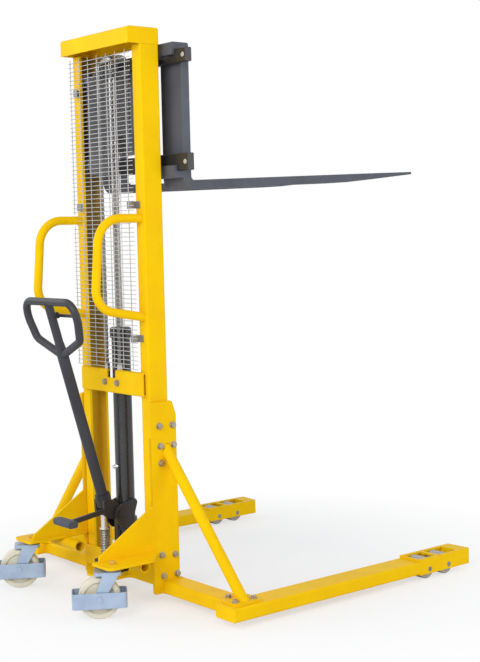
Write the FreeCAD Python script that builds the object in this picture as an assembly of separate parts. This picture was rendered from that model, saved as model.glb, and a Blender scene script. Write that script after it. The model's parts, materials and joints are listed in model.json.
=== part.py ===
import FreeCAD, Part
import math
import os

os.makedirs("parts", exist_ok=True)
V = FreeCAD.Vector

# Fits
running_clearance = 0.05
sliding_gap = 0.2
curved_gap = 0.4

# Mast channels, top beam and crossmember
mast_height = 2080.0
mast_half_width = 225.0
channel_depth = 82.0
channel_flange = 50.0
channel_wall = 10.0
channel_root_radius = 6.0
beam_depth = 59.0
beam_overhang = 51.0
beam_wall = 6.0
beam_fold_radius = 9.0
beam_skirt_z = mast_height - beam_depth
beam_rear_x = -beam_overhang
outer_y = mast_half_width
tip_y = mast_half_width - channel_flange
web_y = mast_half_width - channel_wall
front_flange_x = channel_depth - channel_wall
cross_depth = 15.0
cross_end_inset = 19.0
cross_low_z = 754.0
cross_height = 88.0
cross_wall = 6.0
cross_barrel_gap = 6.0
notch_width = 54.0
notch_depth = 31.0
cross_rear_x = -cross_depth
cross_front_x = cross_rear_x + cross_wall
cross_high_z = cross_low_z + cross_height
cross_half_span = mast_half_width - cross_end_inset

# Mesh guard and its clips
mesh_standoff = 30.0
mesh_thickness = 4.0
mesh_wire = 5.0
mesh_side_inset = 20.0
mesh_foot_gap = 12.0
mesh_head_gap = 16.0
mesh_columns = 7
mesh_rows = 39
mesh_notch_reach = 24.0
mesh_notch_half_height = 21.0
mesh_half_width = mast_half_width - mesh_side_inset
mesh_low_z = cross_high_z + mesh_foot_gap
mesh_high_z = beam_skirt_z - mesh_head_gap
mesh_back_x = -mesh_standoff - mesh_thickness / 2
mesh_front_x = mesh_back_x + mesh_thickness
clip_drops_left = (125.0, 555.0)
clip_drops_right = (555.0, 1039.0)
clip_height = 26.0
clip_wall = 3.0
clip_foot_reach = 22.0
clip_edge_inset = 3.0
clip_inner_y = tip_y + clip_edge_inset

# Grab handles
grab_inset = 25.0
grab_radius = 16.0
grab_low_z = 1042.0
grab_height = 360.0
grab_low_rise = 41.0
grab_top_reach = 178.0
grab_low_reach = 205.0
grab_top_bend = 95.0
grab_low_bend = 80.0
grab_y = mast_half_width - grab_inset
grab_top_z = grab_low_z + grab_height

# Base plate
base_low_z = 65.0
base_thickness = 10.0
base_rear_lap = 8.0
shelf_reach = 112.0
shelf_half_width = 78.0
shelf_corner = 24.0
skirt_height = 65.0
skirt_inner_y = 62.0
channel_foot_z = base_low_z + base_thickness
base_back_x = -base_rear_lap
skirt_high_z = channel_foot_z + skirt_height

# Casters
caster_turn = -32.0
caster_trail = 48.0
wheel_radius = 75.0
wheel_width = 50.0
wheel_hub_width = 56.0
wheel_hub_radius = 22.0
wheel_dish_radius = 52.0
wheel_rim_radius = 58.0
wheel_dish_depth = 6.0
wheel_tread_round = 10.0
wheel_tread_drop = 3.3
caster_axle_radius = 6.0
caster_head_radius = 10.0
caster_head_height = 4.0
crown_gap = 6.0
crown_thickness = 12.0
crown_back = -66.0
crown_front = 30.0
crown_corner = 12.0
leg_plate_gap = 1.5
leg_plate_thickness = 6.0
leg_plate_top_back = -34.0
leg_plate_top_front = 26.0
leg_plate_eye = 19.0
leg_plate_bend = 8.0
leg_plate_end_radius = 16.0
race_height = 12.0
race_radius = 33.0
race_waist_radius = 27.0
kingpin_radius = 8.0
kingpin_rise = 12.0
kingpin_nut_radius = 13.0
kingpin_nut_height = 9.0
guard_low_z = 42.0
guard_height = 56.0
guard_end_gap = 19.0
guard_side_gap = 4.5
guard_wall = 3.0
guard_corner = 14.0
crown_low_z = 2 * wheel_radius + crown_gap
crown_high_z = crown_low_z + crown_thickness
leg_plate_inner = wheel_hub_width / 2 + leg_plate_gap
leg_plate_outer = leg_plate_inner + leg_plate_thickness
guard_high_z = guard_low_z + guard_height
guard_inner = leg_plate_outer + guard_side_gap
guard_half_width = guard_inner + guard_wall
guard_half_length = wheel_radius + guard_end_gap + guard_wall

# Caster brackets
bracket_thickness = 10.0
bracket_length = 257.0
bracket_lap = 10.0
bracket_width = 120.0
bracket_neck = 47.0
bracket_shoulder = 64.0
bracket_corner = 22.0
bracket_inner_corner = 11.0
bracket_shoulder_radius = 44.0
caster_back_inset = 47.0
caster_side_inset = 65.0
gusset_thickness = 10.0
gusset_height = 164.0
gusset_tail_inset = 24.0
gusset_tail_rise = 18.0
gusset_tail_radius = 12.0
jack_tube_radius = 20.0
jack_tube_wall = 3.5
jack_tube_forward = 165.0
jack_tube_lap = 2.0
jack_tube_inner_reach = 92.0
jack_tube_outer_inset = 23.0
bracket_low_z = crown_high_z + race_height
bracket_top_z = bracket_low_z + bracket_thickness
bracket_back_x = base_back_x - bracket_length
bracket_inner_y = mast_half_width - bracket_lap
bracket_outer_y = bracket_inner_y + bracket_width
caster_x = bracket_back_x + caster_back_inset
caster_y = bracket_inner_y + caster_side_inset
gusset_outer_y = mast_half_width + gusset_thickness
jack_tube_x = bracket_back_x + jack_tube_forward
jack_tube_z = bracket_low_z - jack_tube_radius + jack_tube_lap
jack_tube_inner_y = bracket_inner_y - jack_tube_inner_reach
jack_tube_outer_y = bracket_outer_y - jack_tube_outer_inset

# Side posts
post_thickness = 12.0
post_overhang = 24.0
post_low_z = 28.0
post_height = 707.0
post_chamfer_run = 17.0
post_chamfer_drop = 49.0
post_corner = 8.0
post_outer_y = mast_half_width + post_thickness
post_back_x = base_back_x
post_front_x = channel_depth + post_overhang
post_high_z = post_low_z + post_height

# Cross beams and straddle legs
tube_low_z = 26.0
tube_height = 48.0
tube_wall = 6.0
tube_corner = 7.0
cross_beam_back_x = 30.0
cross_beam_width = 90.0
leg_inner_y = 600.0
leg_width = 108.0
leg_back_x = -10.0
housing_front_x = 1178.0
housing_slant = 10.0
housing_nose = 66.0
housing_low_z = 23.0
housing_cover = 3.0
housing_wall = 11.0
housing_end_wall = 8.0
housing_corner = 10.0
bridge_width = 14.0
window_side = 15.0
load_roller_radius = 40.0
load_roller_end_gap = 1.5
load_roller_side_gap = 3.0
load_roller_hub_radius = 17.0
load_roller_chamfer = 3.0
load_roller_front_room = 18.0
load_roller_back_room = 7.0
load_roller_bridge_room = 6.0
load_axle_radius = 10.0
tube_high_z = tube_low_z + tube_height
cross_beam_front_x = cross_beam_back_x + cross_beam_width
leg_outer_y = leg_inner_y + leg_width
housing_front_inner_x = housing_front_x - housing_slant
housing_cavity_front_x = housing_front_x - housing_nose
housing_high_z = 2 * load_roller_radius + housing_cover
load_roller_front_x = housing_cavity_front_x - load_roller_front_room - load_roller_radius
load_roller_back_x = load_roller_front_x - 2 * load_roller_radius - 2 * load_roller_bridge_room - bridge_width
housing_back_x = load_roller_back_x - load_roller_radius - load_roller_back_room - housing_end_wall
load_roller_width = leg_width - 2 * window_side - 2 * load_roller_end_gap
load_roller_hub_width = leg_width - 2 * housing_wall - 2 * load_roller_side_gap
bridge_back_x = (load_roller_back_x + load_roller_front_x - bridge_width) / 2
bridge_front_x = bridge_back_x + bridge_width

# Leg braces
brace_radius = 20.0
brace_top_x = 64.0
brace_top_drop = 170.0
brace_foot_x = 70.0
brace_foot_reach = 73.0
brace_foot_sink = 18.0
foot_thickness = 7.0
foot_back_x = 12.0
foot_neck_back_x = 36.0
foot_neck_front_x = 84.0
foot_front_x = 130.0
foot_inner_reach = 30.0
foot_shoulder_reach = 4.0
foot_outer_reach = 90.0
foot_corner = 10.0

# Bolts, placed from the post ends and from the inner side of the legs
bolt_head_radius = 10.5
bolt_head_height = 8.0
washer_radius = 12.5
washer_height = 2.0
post_top_bolts = ((30.0, 88.0), (90.0, 89.0), (33.0, 162.0), (92.0, 162.0), (35.0, 225.0))
post_low_bolts = ((27.0, 143.0), (87.0, 137.0), (33.0, 64.0), (94.0, 64.0))
foot_bolts = ((54.0, -9.0), (30.0, 58.0), (111.0, 60.0))
anchor_bolt_rise = 40.0

# Lift cylinder, rod, yoke and chain pulleys
cylinder_x = 33.0
barrel_radius = 35.0
barrel_wall = 6.0
barrel_floor = 15.0
barrel_foot_flange = 3.0
barrel_foot_height = 14.0
barrel_top_z = 960.0
gland_flange = 6.0
gland_height = 40.0
gland_round = 12.0
rod_radius = 17.5
piston_length = 35.0
piston_drop = 110.0
pulley_drop = 61.0
pulley_pitch_radius = 36.0
pulley_flange_rise = 2.0
pulley_flange = 1.8
pulley_bore = 10.0
chain_y = 41.0
chain_width = 12.0
chain_thickness = 9.0
chain_pitch = 19.05
chain_waist = 1.3
yoke_half_depth = 21.0
yoke_side_gap = 1.4
yoke_drop = 35.0
yoke_rise = 24.0
yoke_round = 18.0
yoke_collar_radius = 16.0
yoke_collar_width = 6.0
anchor_foot_rise = 20.0
anchor_head_rise = 20.0
anchor_width = 16.0
anchor_gap = 1.0
anchor_depth = 12.0
barrel_bore = barrel_radius - barrel_wall
barrel_foot_radius = barrel_radius + barrel_foot_flange
gland_radius = barrel_radius + gland_flange
gland_top_z = barrel_top_z + gland_height
piston_high_z = barrel_top_z - piston_drop
piston_low_z = piston_high_z - piston_length
pulley_z = beam_skirt_z - pulley_drop
pulley_flange_radius = pulley_pitch_radius + chain_thickness / 2 + pulley_flange_rise
rod_top_z = pulley_z - yoke_drop
yoke_top_z = pulley_z + yoke_rise
anchor_low_z = cross_low_z + anchor_foot_rise
anchor_high_z = cross_high_z + anchor_head_rise

# Fork bars and carriage
bar_back_x = 122.0
bar_depth = 27.8
bar_overhang = 105.0
bar_top_drop = 16.0
bar_spread = 435.0
upper_bar_height = 50.0
lower_bar_height = 62.0
bar_round = 4.0
bar_hole_radius = 11.0
bar_hole_inset = 19.0
hook_lip_depth = 20.0
hook_lip_thickness = 11.8
hook_rise = 25.0
hook_round = 6.0
bar_front_x = bar_back_x + bar_depth
bar_half_length = mast_half_width + bar_overhang
bar_hole_y = bar_half_length - bar_hole_inset
upper_bar_high_z = beam_skirt_z - bar_top_drop
upper_bar_low_z = upper_bar_high_z - upper_bar_height
lower_bar_low_z = upper_bar_high_z - bar_spread
lower_bar_high_z = lower_bar_low_z + lower_bar_height
lip_front_x = bar_back_x - sliding_gap
hook_back_x = lip_front_x - hook_lip_thickness
side_gap = 10.0
side_thickness = 15.0
side_back_x = 22.0
side_foot_rise = 2.0
side_lip_gap = 4.0
side_head_gap = 7.0
side_hook_gap = 6.0
side_shoulder_x = 66.0
side_shoulder_drop = 72.0
side_relief_low_rise = 14.0
side_relief_high_drop = 66.0
side_corner = 12.0
side_tab_corner = 6.0
side_outer_y = tip_y - side_gap
side_inner_y = side_outer_y - side_thickness
side_low_z = lower_bar_low_z + side_foot_rise
side_tab_x = hook_back_x - side_hook_gap
side_tab_low_z = lower_bar_low_z + hook_lip_depth + side_lip_gap
side_tab_high_z = upper_bar_high_z - hook_lip_depth - side_head_gap
carriage_plate_thickness = 12.0
carriage_plate_gap = 15.0
carriage_plate_rise = 8.0
carriage_plate_head_drop = 27.0
carriage_plate_half_dip = 55.0
carriage_plate_dip = 27.5
carriage_plate_bend = 55.0
lug_height = 72.0
lug_knee_rise = 29.0
lug_width = 17.0
lug_margin = 2.5
carriage_plate_front_x = bar_back_x - carriage_plate_gap
carriage_plate_back_x = carriage_plate_front_x - carriage_plate_thickness
carriage_plate_low_z = lower_bar_high_z + carriage_plate_rise
carriage_plate_high_z = upper_bar_high_z - carriage_plate_head_drop
lug_back_x = cylinder_x + pulley_pitch_radius - chain_thickness / 2 - lug_margin
lug_high_z = carriage_plate_low_z + lug_height

# Guide rollers
guide_low_rise = 42.0
guide_high_drop = 75.0
guide_flange_gap = 0.3
guide_tip_gap = 5.0
guide_web_gap = 6.5
guide_bore = 12.0
guide_recess_radius = 21.0
guide_recess_depth = 3.0
guide_chamfer = 2.0
guide_collar_radius = 18.0
guide_x = channel_depth / 2
guide_radius = channel_depth / 2 - channel_wall - guide_flange_gap
guide_inner_y = tip_y + guide_tip_gap
guide_outer_y = web_y - guide_web_gap
guide_heights = (lower_bar_low_z + guide_low_rise, upper_bar_high_z - guide_high_drop)

# Forks
fork_end_gap = 65.0
fork_width = 125.0
shank_thickness = 35.0
heel_outer_radius = 38.0
heel_inner_radius = 14.0
blade_drop = 33.0
blade_thickness = 32.0
fork_length = 1200.0
fork_rise = 44.0
fork_tip_thickness = 9.0
fork_taper_length = 420.0
fork_plan_taper_length = 265.0
fork_tip_half_width = 27.0
fork_tip_round = 20.0
fork_outer_y = bar_half_length - fork_end_gap
fork_inner_y = fork_outer_y - fork_width
shank_back_x = bar_front_x + sliding_gap
shank_front_x = shank_back_x + shank_thickness
shank_top_z = upper_bar_high_z + hook_rise
hook_drop_z = lower_bar_low_z - hook_rise
blade_top_heel_z = lower_bar_low_z - blade_drop
fork_tip_x = shank_front_x + fork_length
fork_tip_z = blade_top_heel_z + fork_rise
fork_taper_x = fork_tip_x - fork_taper_length
fork_plan_taper_x = fork_tip_x - fork_plan_taper_length

# Pump and crosshead, placed from the pivot pin
pivot_x = -20.0
pivot_z = 300.0
pivot_pin_radius = 8.0
pivot_pin_rise = 4.0
pivot_head_radius = 12.0
pivot_head_height = 5.0
push_roller_back = 45.0
push_roller_rise = 12.0
push_roller_radius = 12.0
cheek_inner_y = 22.0
cheek_thickness = 12.0
cheek_round = 12.0
cheek_shape = ((-64.0, 0.0), (-30.0, -16.0), (0.0, -19.5), (18.0, -6.0), (16.0, 18.0), (-14.0, 52.0),
               (-68.0, 66.0))
web_gap = 2.0
web_thickness = 10.0
web_round = 10.0
web_shape = ((-24.0, -14.0), (-16.0, 28.0), (66.0, 54.0), (76.0, 38.0), (44.0, -64.0), (14.0, -64.0))
band_thickness = 6.4
band_gap = 0.1
band_drop = 24.0
band_height = 44.0
pump_block_back = 33.0
pump_block_front_gap = 4.0
pump_block_half_width = 34.0
pump_block_height = 55.0
pump_block_round = 14.0
pump_rib_half_width = 12.0
pump_rib_depth = 10.4
pump_rib_gap = 1.6
plunger_radius = 11.0
plunger_bore_rise = 5.0
plunger_dip = 8.0
plunger_seat_drop = 55.0
plunger_seat_radius = 20.0
plunger_seat_height = 5.0
plunger_cap_radius = 14.5
spring_wire = 4.0
spring_mean_radius = 16.6
spring_turns = 9
spring_seat_gap = 0.9
cheek_outer_y = cheek_inner_y + cheek_thickness
web_inner_y = cheek_outer_y + web_gap
web_outer_y = web_inner_y + web_thickness
pivot_pin_reach = web_outer_y + pivot_pin_rise
pump_x = pivot_x - push_roller_back
push_roller_z = pivot_z + push_roller_rise
barrel_back_x = cylinder_x - barrel_radius
band_high_z = pivot_z - band_drop
band_low_z = band_high_z - band_height
band_radius = barrel_radius + band_gap + band_thickness
pump_block_back_x = pump_x - pump_block_back
pump_block_front_x = barrel_back_x - pump_block_front_gap
pump_block_top_z = channel_foot_z + pump_block_height
pump_rib_front_x = barrel_back_x - pump_rib_gap
pump_rib_back_x = pump_rib_front_x - pump_rib_depth
plunger_top_z = push_roller_z - push_roller_radius - curved_gap
plunger_seat_z = pivot_z - plunger_seat_drop
plunger_low_z = pump_block_top_z - plunger_dip
plunger_bore_z = channel_foot_z + plunger_bore_rise

# Tiller, release lever and pedal
tiller_lean = 15.7
tiller_back = 40.0
tiller_rise = 34.0
socket_length = 46.0
socket_radius = 29.0
stem_radius = 21.0
stem_length = 554.0
stem_taper = 50.0
spine_radius = 16.0
loop_radius = 14.5
loop_height = 207.0
loop_half_top = 158.0
loop_half_widest = 172.0
loop_widest_drop = 63.0
loop_half_low = 148.0
loop_low_rise = 62.0
loop_root_drop = 2.0
loop_top_bend = 48.0
loop_side_bend = 90.0
loop_low_bend = 34.0
lever_drop_from_top = 59.0
lever_thickness = 6.0
lever_eye_radius = 12.0
lever_pin_radius = 4.0
lever_boss_radius = 10.0
lever_boss_rise = 4.5
lever_head_radius = 8.0
lever_head_height = 2.0
lever_corner = 3.3
lever_reach = 116.0
lever_width = 11.0
lever_hook_drop = 22.0
lever_hook = 10.0
pedal_back = 220.0
pedal_drop = 3.0
pedal_y = -10.0
pedal_length = 108.0
pedal_depth = 40.0
pedal_thickness = 26.0
pedal_round = 9.0
pedal_groove = 4.0
pedal_groove_count = 5
pedal_arm_height = 18.0
tiller_foot_x = pivot_x - tiller_back
tiller_foot_z = pivot_z + tiller_rise
stem_neck = socket_length + stem_length
spine_start = stem_neck + stem_taper
loop_root = stem_neck - loop_root_drop
loop_top = loop_root + loop_height
loop_widest = loop_top - loop_widest_drop
loop_low = loop_root + loop_low_rise
lever_pivot = loop_top - lever_drop_from_top
lever_offset = spine_radius + lever_boss_rise
pedal_x = pivot_x - pedal_back
pedal_z = pivot_z - pedal_drop

# Bleed fitting on the barrel
fitting_z = 474.0
fitting_radius = 7.0
fitting_length = 16.0
fitting_collar = 10.0
fitting_collar_length = 8.0


def block(x0, x1, y0, y1, z0, z1):
    return Part.makeBox(x1 - x0, y1 - y0, z1 - z0, V(x0, y0, z0))


def rod(start, end, radius):
    axis = end.sub(start)
    return Part.makeCylinder(radius, axis.Length, start, axis)


def ring(start, end, outer, inner):
    return rod(start, end, outer).cut(rod(start, end, inner))


def rounded_wire(points, radii, closed=True):
    # polyline with each corner turned by an arc of the given radius
    count = len(points)
    edges = []
    corners = []
    for i in range(count):
        here = points[i]
        if radii[i] <= 0 or (not closed and i in (0, count - 1)):
            corners.append((here, here, here))
            continue
        back = points[i - 1].sub(here).normalize()
        ahead = points[(i + 1) % count].sub(here).normalize()
        half = math.acos(max(-1, min(1, back.dot(ahead)))) / 2
        reach = radii[i] / math.tan(half)
        middle = back.add(ahead).normalize()
        depth = radii[i] / math.sin(half) - radii[i]
        first = here.add(V(back).multiply(reach))
        last = here.add(V(ahead).multiply(reach))
        corners.append((first, here.add(middle.multiply(depth)), last))
    for i in range(count):
        first, mid, last = corners[i]
        if first.distanceToPoint(last) > 0:
            edges.append(Part.Arc(first, mid, last).toShape())
        if i < count - 1 or closed:
            following = corners[(i + 1) % count][0]
            edges.append(Part.makeLine(last, following))
    return Part.Wire(edges)


def even(points, radius):
    return [radius] * len(points)


def plate_xz(outline, radii, y0, y1):
    wire = rounded_wire([V(x, y0, z) for x, z in outline], radii)
    return Part.Face(wire).extrude(V(0, y1 - y0, 0))


def plate_xy(outline, radii, z0, z1):
    wire = rounded_wire([V(x, y, z0) for x, y in outline], radii)
    return Part.Face(wire).extrude(V(0, 0, z1 - z0))


def plate_yz(outline, radii, x0, x1):
    wire = rounded_wire([V(x0, y, z) for y, z in outline], radii)
    return Part.Face(wire).extrude(V(x1 - x0, 0, 0))


def turned(profile, origin, axis):
    # profile of (radius, height) pairs turned round an axis
    points = [V(r, 0, h) for r, h in profile]
    points.append(points[0])
    body = Part.Face(Part.makePolygon(points)).revolve(V(0, 0, 0), V(0, 0, 1), 360)
    body.Placement = FreeCAD.Placement(origin, FreeCAD.Rotation(V(0, 0, 1), axis))
    return body


def bent_tube(points, radii, radius):
    path = rounded_wire(points, radii, closed=False)
    section = Part.Wire([Part.makeCircle(radius, points[0], points[1].sub(points[0]))])
    return path.makePipeShell([section], True, False)


def mirrored(shape):
    return shape.mirror(V(0, 0, 0), V(0, 1, 0))


def joined(shapes):
    body = shapes[0].fuse(list(shapes[1:]))
    return body.removeSplitter()


def hexagon_head(base, axis, across_radius, height):
    # hexagon prism with its corners turned off
    points = []
    for i in range(6):
        angle = math.radians(60 * i)
        points.append(V(across_radius * math.cos(angle), across_radius * math.sin(angle), 0))
    points.append(points[0])
    prism = Part.Face(Part.makePolygon(points)).extrude(V(0, 0, height))
    prism.Placement = FreeCAD.Placement(base, FreeCAD.Rotation(V(0, 0, 1), axis))
    return prism


nodes = {}

# Mast channels stand on the base plate with their open sides facing each other
channel_outline = (
    (0, outer_y), (channel_depth, outer_y), (channel_depth, tip_y), (front_flange_x, tip_y),
    (front_flange_x, web_y), (channel_wall, web_y), (channel_wall, tip_y), (0, tip_y))
channel_radii = (channel_root_radius, channel_root_radius, 0, 0, channel_root_radius,
                 channel_root_radius, 0, 0)
channel = plate_xy(channel_outline, channel_radii, channel_foot_z, beam_skirt_z)
nodes["mast_channel_left"] = channel
nodes["mast_channel_right"] = mirrored(channel)

# Folded top beam, open below
beam_inner_rear = beam_rear_x + beam_wall
beam_inner_front = channel_depth - beam_wall
beam_shell = plate_xz(
    ((beam_rear_x, beam_skirt_z), (channel_depth, beam_skirt_z), (channel_depth, mast_height),
     (beam_rear_x, mast_height)),
    (0, 0, beam_fold_radius, beam_fold_radius), -outer_y, outer_y)
beam_hollow = plate_xz(
    ((beam_inner_rear, beam_skirt_z), (beam_inner_front, beam_skirt_z),
     (beam_inner_front, mast_height - beam_wall), (beam_inner_rear, mast_height - beam_wall)),
    (0, 0, beam_fold_radius - beam_wall, beam_fold_radius - beam_wall), beam_wall - outer_y,
    outer_y - beam_wall)
nodes["top_beam"] = beam_shell.cut(beam_hollow)

# Folded crossmember with a notch in its top lip and slots for the chain anchors
crossmember = plate_xz(
    ((cross_rear_x, cross_low_z), (0, cross_low_z), (0, cross_low_z + cross_wall),
     (cross_front_x, cross_low_z + cross_wall), (cross_front_x, cross_high_z - cross_wall),
     (0, cross_high_z - cross_wall), (0, cross_high_z), (cross_rear_x, cross_high_z)),
    (cross_wall, 0, 0, 0, 0, 0, 0, cross_wall), -cross_half_span, cross_half_span)
notch = block(cross_rear_x, 0, -notch_width / 2, notch_width / 2, cross_high_z - notch_depth, cross_high_z)
slot_half = anchor_width / 2 + anchor_gap
crossmember = crossmember.cut(notch)
for side in (-1, 1):
    slot = block(cross_front_x, 0, side * chain_y - slot_half, side * chain_y + slot_half,
                 cross_high_z - cross_wall, cross_high_z)
    crossmember = crossmember.cut(slot)
barrel_room = rod(V(cylinder_x, 0, cross_low_z), V(cylinder_x, 0, cross_high_z),
                  barrel_radius + cross_barrel_gap)
nodes["crossmember"] = crossmember.cut(barrel_room)

# Welded mesh guard, one net of rectangular gaps, notched round the grab handles
column_step = (2 * mesh_half_width - mesh_wire) / mesh_columns
row_step = (mesh_high_z - mesh_low_z - mesh_wire) / mesh_rows


def mesh_ring(y0, y1, z0, z1):
    corners = [V(mesh_back_x, y0, z0), V(mesh_back_x, y1, z0), V(mesh_back_x, y1, z1),
               V(mesh_back_x, y0, z1)]
    return Part.makePolygon(corners + corners[:1])


mesh_wires = [mesh_ring(-mesh_half_width, mesh_half_width, mesh_low_z, mesh_high_z)]
for column in range(mesh_columns):
    gap_left = -mesh_half_width + mesh_wire + column * column_step
    for row in range(mesh_rows):
        gap_low = mesh_low_z + mesh_wire + row * row_step
        mesh_wires.append(mesh_ring(gap_left, gap_left + column_step - mesh_wire,
                                    gap_low, gap_low + row_step - mesh_wire))
mesh = Part.makeFace(mesh_wires, "Part::FaceMakerBullseye").extrude(V(mesh_thickness, 0, 0))
mesh_low_cross_z = grab_low_z + grab_low_rise * mesh_standoff / grab_low_reach
for side in (-1, 1):
    for height in (grab_top_z, mesh_low_cross_z):
        near_y = side * (mesh_half_width - mesh_notch_reach)
        far_y = side * (mesh_half_width + mesh_wire)
        mesh = mesh.cut(block(mesh_back_x, mesh_front_x, min(near_y, far_y), max(near_y, far_y),
                              height - mesh_notch_half_height, height + mesh_notch_half_height))
nodes["mesh_guard"] = mesh


def guard_clip(side, height):
    # folded clip from the rear flange face to the front of the mesh
    foot_y = clip_inner_y + clip_foot_reach
    tab_y = clip_inner_y - clip_foot_reach
    outline = ((0, foot_y), (0, clip_inner_y), (mesh_front_x + clip_wall, clip_inner_y),
               (mesh_front_x + clip_wall, tab_y), (mesh_front_x, tab_y),
               (mesh_front_x, clip_inner_y + clip_wall), (-clip_wall, clip_inner_y + clip_wall),
               (-clip_wall, foot_y))
    clip = plate_xy(outline, even(outline, 0), height - clip_height / 2, height + clip_height / 2)
    return clip if side > 0 else mirrored(clip)


clips = [guard_clip(1, mesh_high_z - drop) for drop in clip_drops_left]
clips += [guard_clip(-1, mesh_high_z - drop) for drop in clip_drops_right]
nodes["guard_clips"] = Part.makeCompound(clips)

# Grab handles bent from round tube
grab = bent_tube(
    [V(0, grab_y, grab_top_z), V(-grab_top_reach, grab_y, grab_top_z),
     V(-grab_low_reach, grab_y, grab_low_z + grab_low_rise), V(grab_radius, grab_y, grab_low_z)],
    (0, grab_top_bend, grab_low_bend, 0), grab_radius)
grab = grab.cut(block(0, 2 * grab_radius, 0, outer_y, grab_low_z - grab_top_bend, grab_top_z))
nodes["grab_handle_left"] = grab
nodes["grab_handle_right"] = mirrored(grab)

# Base plate with a pump shelf behind and two upright skirts
base_outline = (
    (channel_depth, -outer_y), (channel_depth, outer_y), (base_back_x, outer_y),
    (base_back_x, shelf_half_width),
    (-shelf_reach, shelf_half_width), (-shelf_reach, -shelf_half_width), (base_back_x, -shelf_half_width),
    (base_back_x, -outer_y))
base_radii = (0, 0, 0, shelf_corner, shelf_corner, shelf_corner, shelf_corner, 0)
base = plate_xy(base_outline, base_radii, base_low_z, channel_foot_z)
skirt_outline = (
    (skirt_inner_y, channel_foot_z), (outer_y, channel_foot_z), (outer_y, skirt_high_z),
    (skirt_inner_y + shelf_corner, skirt_high_z))
skirt = plate_yz(skirt_outline, (0, 0, 0, shelf_corner), base_back_x, 0)
nodes["base_plate"] = joined([base, skirt, mirrored(skirt)])

# Caster brackets: plate, gusset and short cross tube
bracket_outline = (
    (bracket_back_x, bracket_inner_y), (bracket_back_x, bracket_outer_y),
    (post_back_x - bracket_shoulder, bracket_outer_y), (post_back_x, bracket_inner_y + bracket_neck),
    (post_back_x, bracket_inner_y))
bracket_radii = (bracket_inner_corner, bracket_corner, bracket_shoulder_radius, 0, 0)
bracket = plate_xy(bracket_outline, bracket_radii, bracket_low_z, bracket_top_z)
gusset_outline = (
    (post_back_x, bracket_top_z), (post_back_x, bracket_top_z + gusset_height),
    (bracket_back_x + gusset_tail_inset, bracket_top_z + gusset_tail_rise),
    (bracket_back_x + gusset_tail_inset, bracket_top_z))
gusset = plate_xz(gusset_outline, (0, 0, gusset_tail_radius, 0), outer_y, gusset_outer_y)
jack_start = V(jack_tube_x, jack_tube_inner_y, jack_tube_z)
jack_end = V(jack_tube_x, jack_tube_outer_y, jack_tube_z)
bracket = joined([bracket, gusset, rod(jack_start, jack_end, jack_tube_radius)])
bracket = bracket.cut(rod(jack_start, jack_end, jack_tube_radius - jack_tube_wall))
king_hole = rod(V(caster_x, caster_y, bracket_low_z), V(caster_x, caster_y, bracket_top_z),
                kingpin_radius + running_clearance)
bracket = bracket.cut(king_hole)
nodes["caster_bracket_left"] = bracket
nodes["caster_bracket_right"] = mirrored(bracket)

# Side posts bolted to the outside of the channels
post_outline = (
    (post_back_x, post_low_z), (post_front_x, post_low_z), (post_front_x, post_high_z - post_chamfer_drop),
    (post_front_x - post_chamfer_run, post_high_z), (post_back_x, post_high_z))
post = plate_xz(post_outline, even(post_outline, post_corner), outer_y, post_outer_y)
nodes["side_post_left"] = post
nodes["side_post_right"] = mirrored(post)

# Cross beams from post to leg
cross_beam_outline = (
    (cross_beam_back_x, tube_low_z), (cross_beam_front_x, tube_low_z), (cross_beam_front_x, tube_high_z),
    (cross_beam_back_x, tube_high_z))
cross_beam_bore = (
    (cross_beam_back_x + tube_wall, tube_low_z + tube_wall),
    (cross_beam_front_x - tube_wall, tube_low_z + tube_wall),
    (cross_beam_front_x - tube_wall, tube_high_z - tube_wall),
    (cross_beam_back_x + tube_wall, tube_high_z - tube_wall))
cross_beam = plate_xz(cross_beam_outline, even(cross_beam_outline, tube_corner), post_outer_y, leg_inner_y)
cross_beam = cross_beam.cut(plate_xz(cross_beam_bore, even(cross_beam_bore, 0), post_outer_y, leg_inner_y))
nodes["cross_beam_left"] = cross_beam
nodes["cross_beam_right"] = mirrored(cross_beam)

# Straddle legs: square tube with a roller housing at the tip
leg_outline = (
    (leg_inner_y, tube_low_z), (leg_outer_y, tube_low_z), (leg_outer_y, tube_high_z),
    (leg_inner_y, tube_high_z))
leg_bore = (
    (leg_inner_y + tube_wall, tube_low_z + tube_wall), (leg_outer_y - tube_wall, tube_low_z + tube_wall),
    (leg_outer_y - tube_wall, tube_high_z - tube_wall), (leg_inner_y + tube_wall, tube_high_z - tube_wall))
leg = plate_yz(leg_outline, even(leg_outline, tube_corner), leg_back_x, housing_back_x)
leg_hollow = plate_yz(leg_bore, even(leg_bore, 0), leg_back_x + tube_wall, housing_back_x)
housing_outline = (
    (housing_back_x, leg_inner_y), (housing_front_inner_x, leg_inner_y), (housing_front_x, leg_outer_y),
    (housing_back_x, leg_outer_y))
housing = plate_xy(housing_outline, (0, housing_corner, housing_corner, 0), housing_low_z, housing_high_z)
cavity_back_x = housing_back_x + housing_end_wall
cavity = block(cavity_back_x, housing_cavity_front_x, leg_inner_y + housing_wall, leg_outer_y - housing_wall,
               housing_low_z, housing_high_z - housing_end_wall)
window_back = block(cavity_back_x, bridge_back_x, leg_inner_y + window_side, leg_outer_y - window_side,
                    housing_low_z, housing_high_z)
window_front = block(bridge_front_x, housing_cavity_front_x, leg_inner_y + window_side,
                     leg_outer_y - window_side,
                     housing_low_z, housing_high_z)
leg = joined([leg.cut(leg_hollow), housing]).cut([cavity, window_back, window_front])
roller_xs = (load_roller_back_x, load_roller_front_x)
for roller_x in roller_xs:
    leg = leg.cut(rod(V(roller_x, leg_inner_y, load_roller_radius),
                      V(roller_x, leg_outer_y, load_roller_radius),
                      load_axle_radius + running_clearance))
nodes["straddle_leg_left"] = leg
nodes["straddle_leg_right"] = mirrored(leg)

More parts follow.
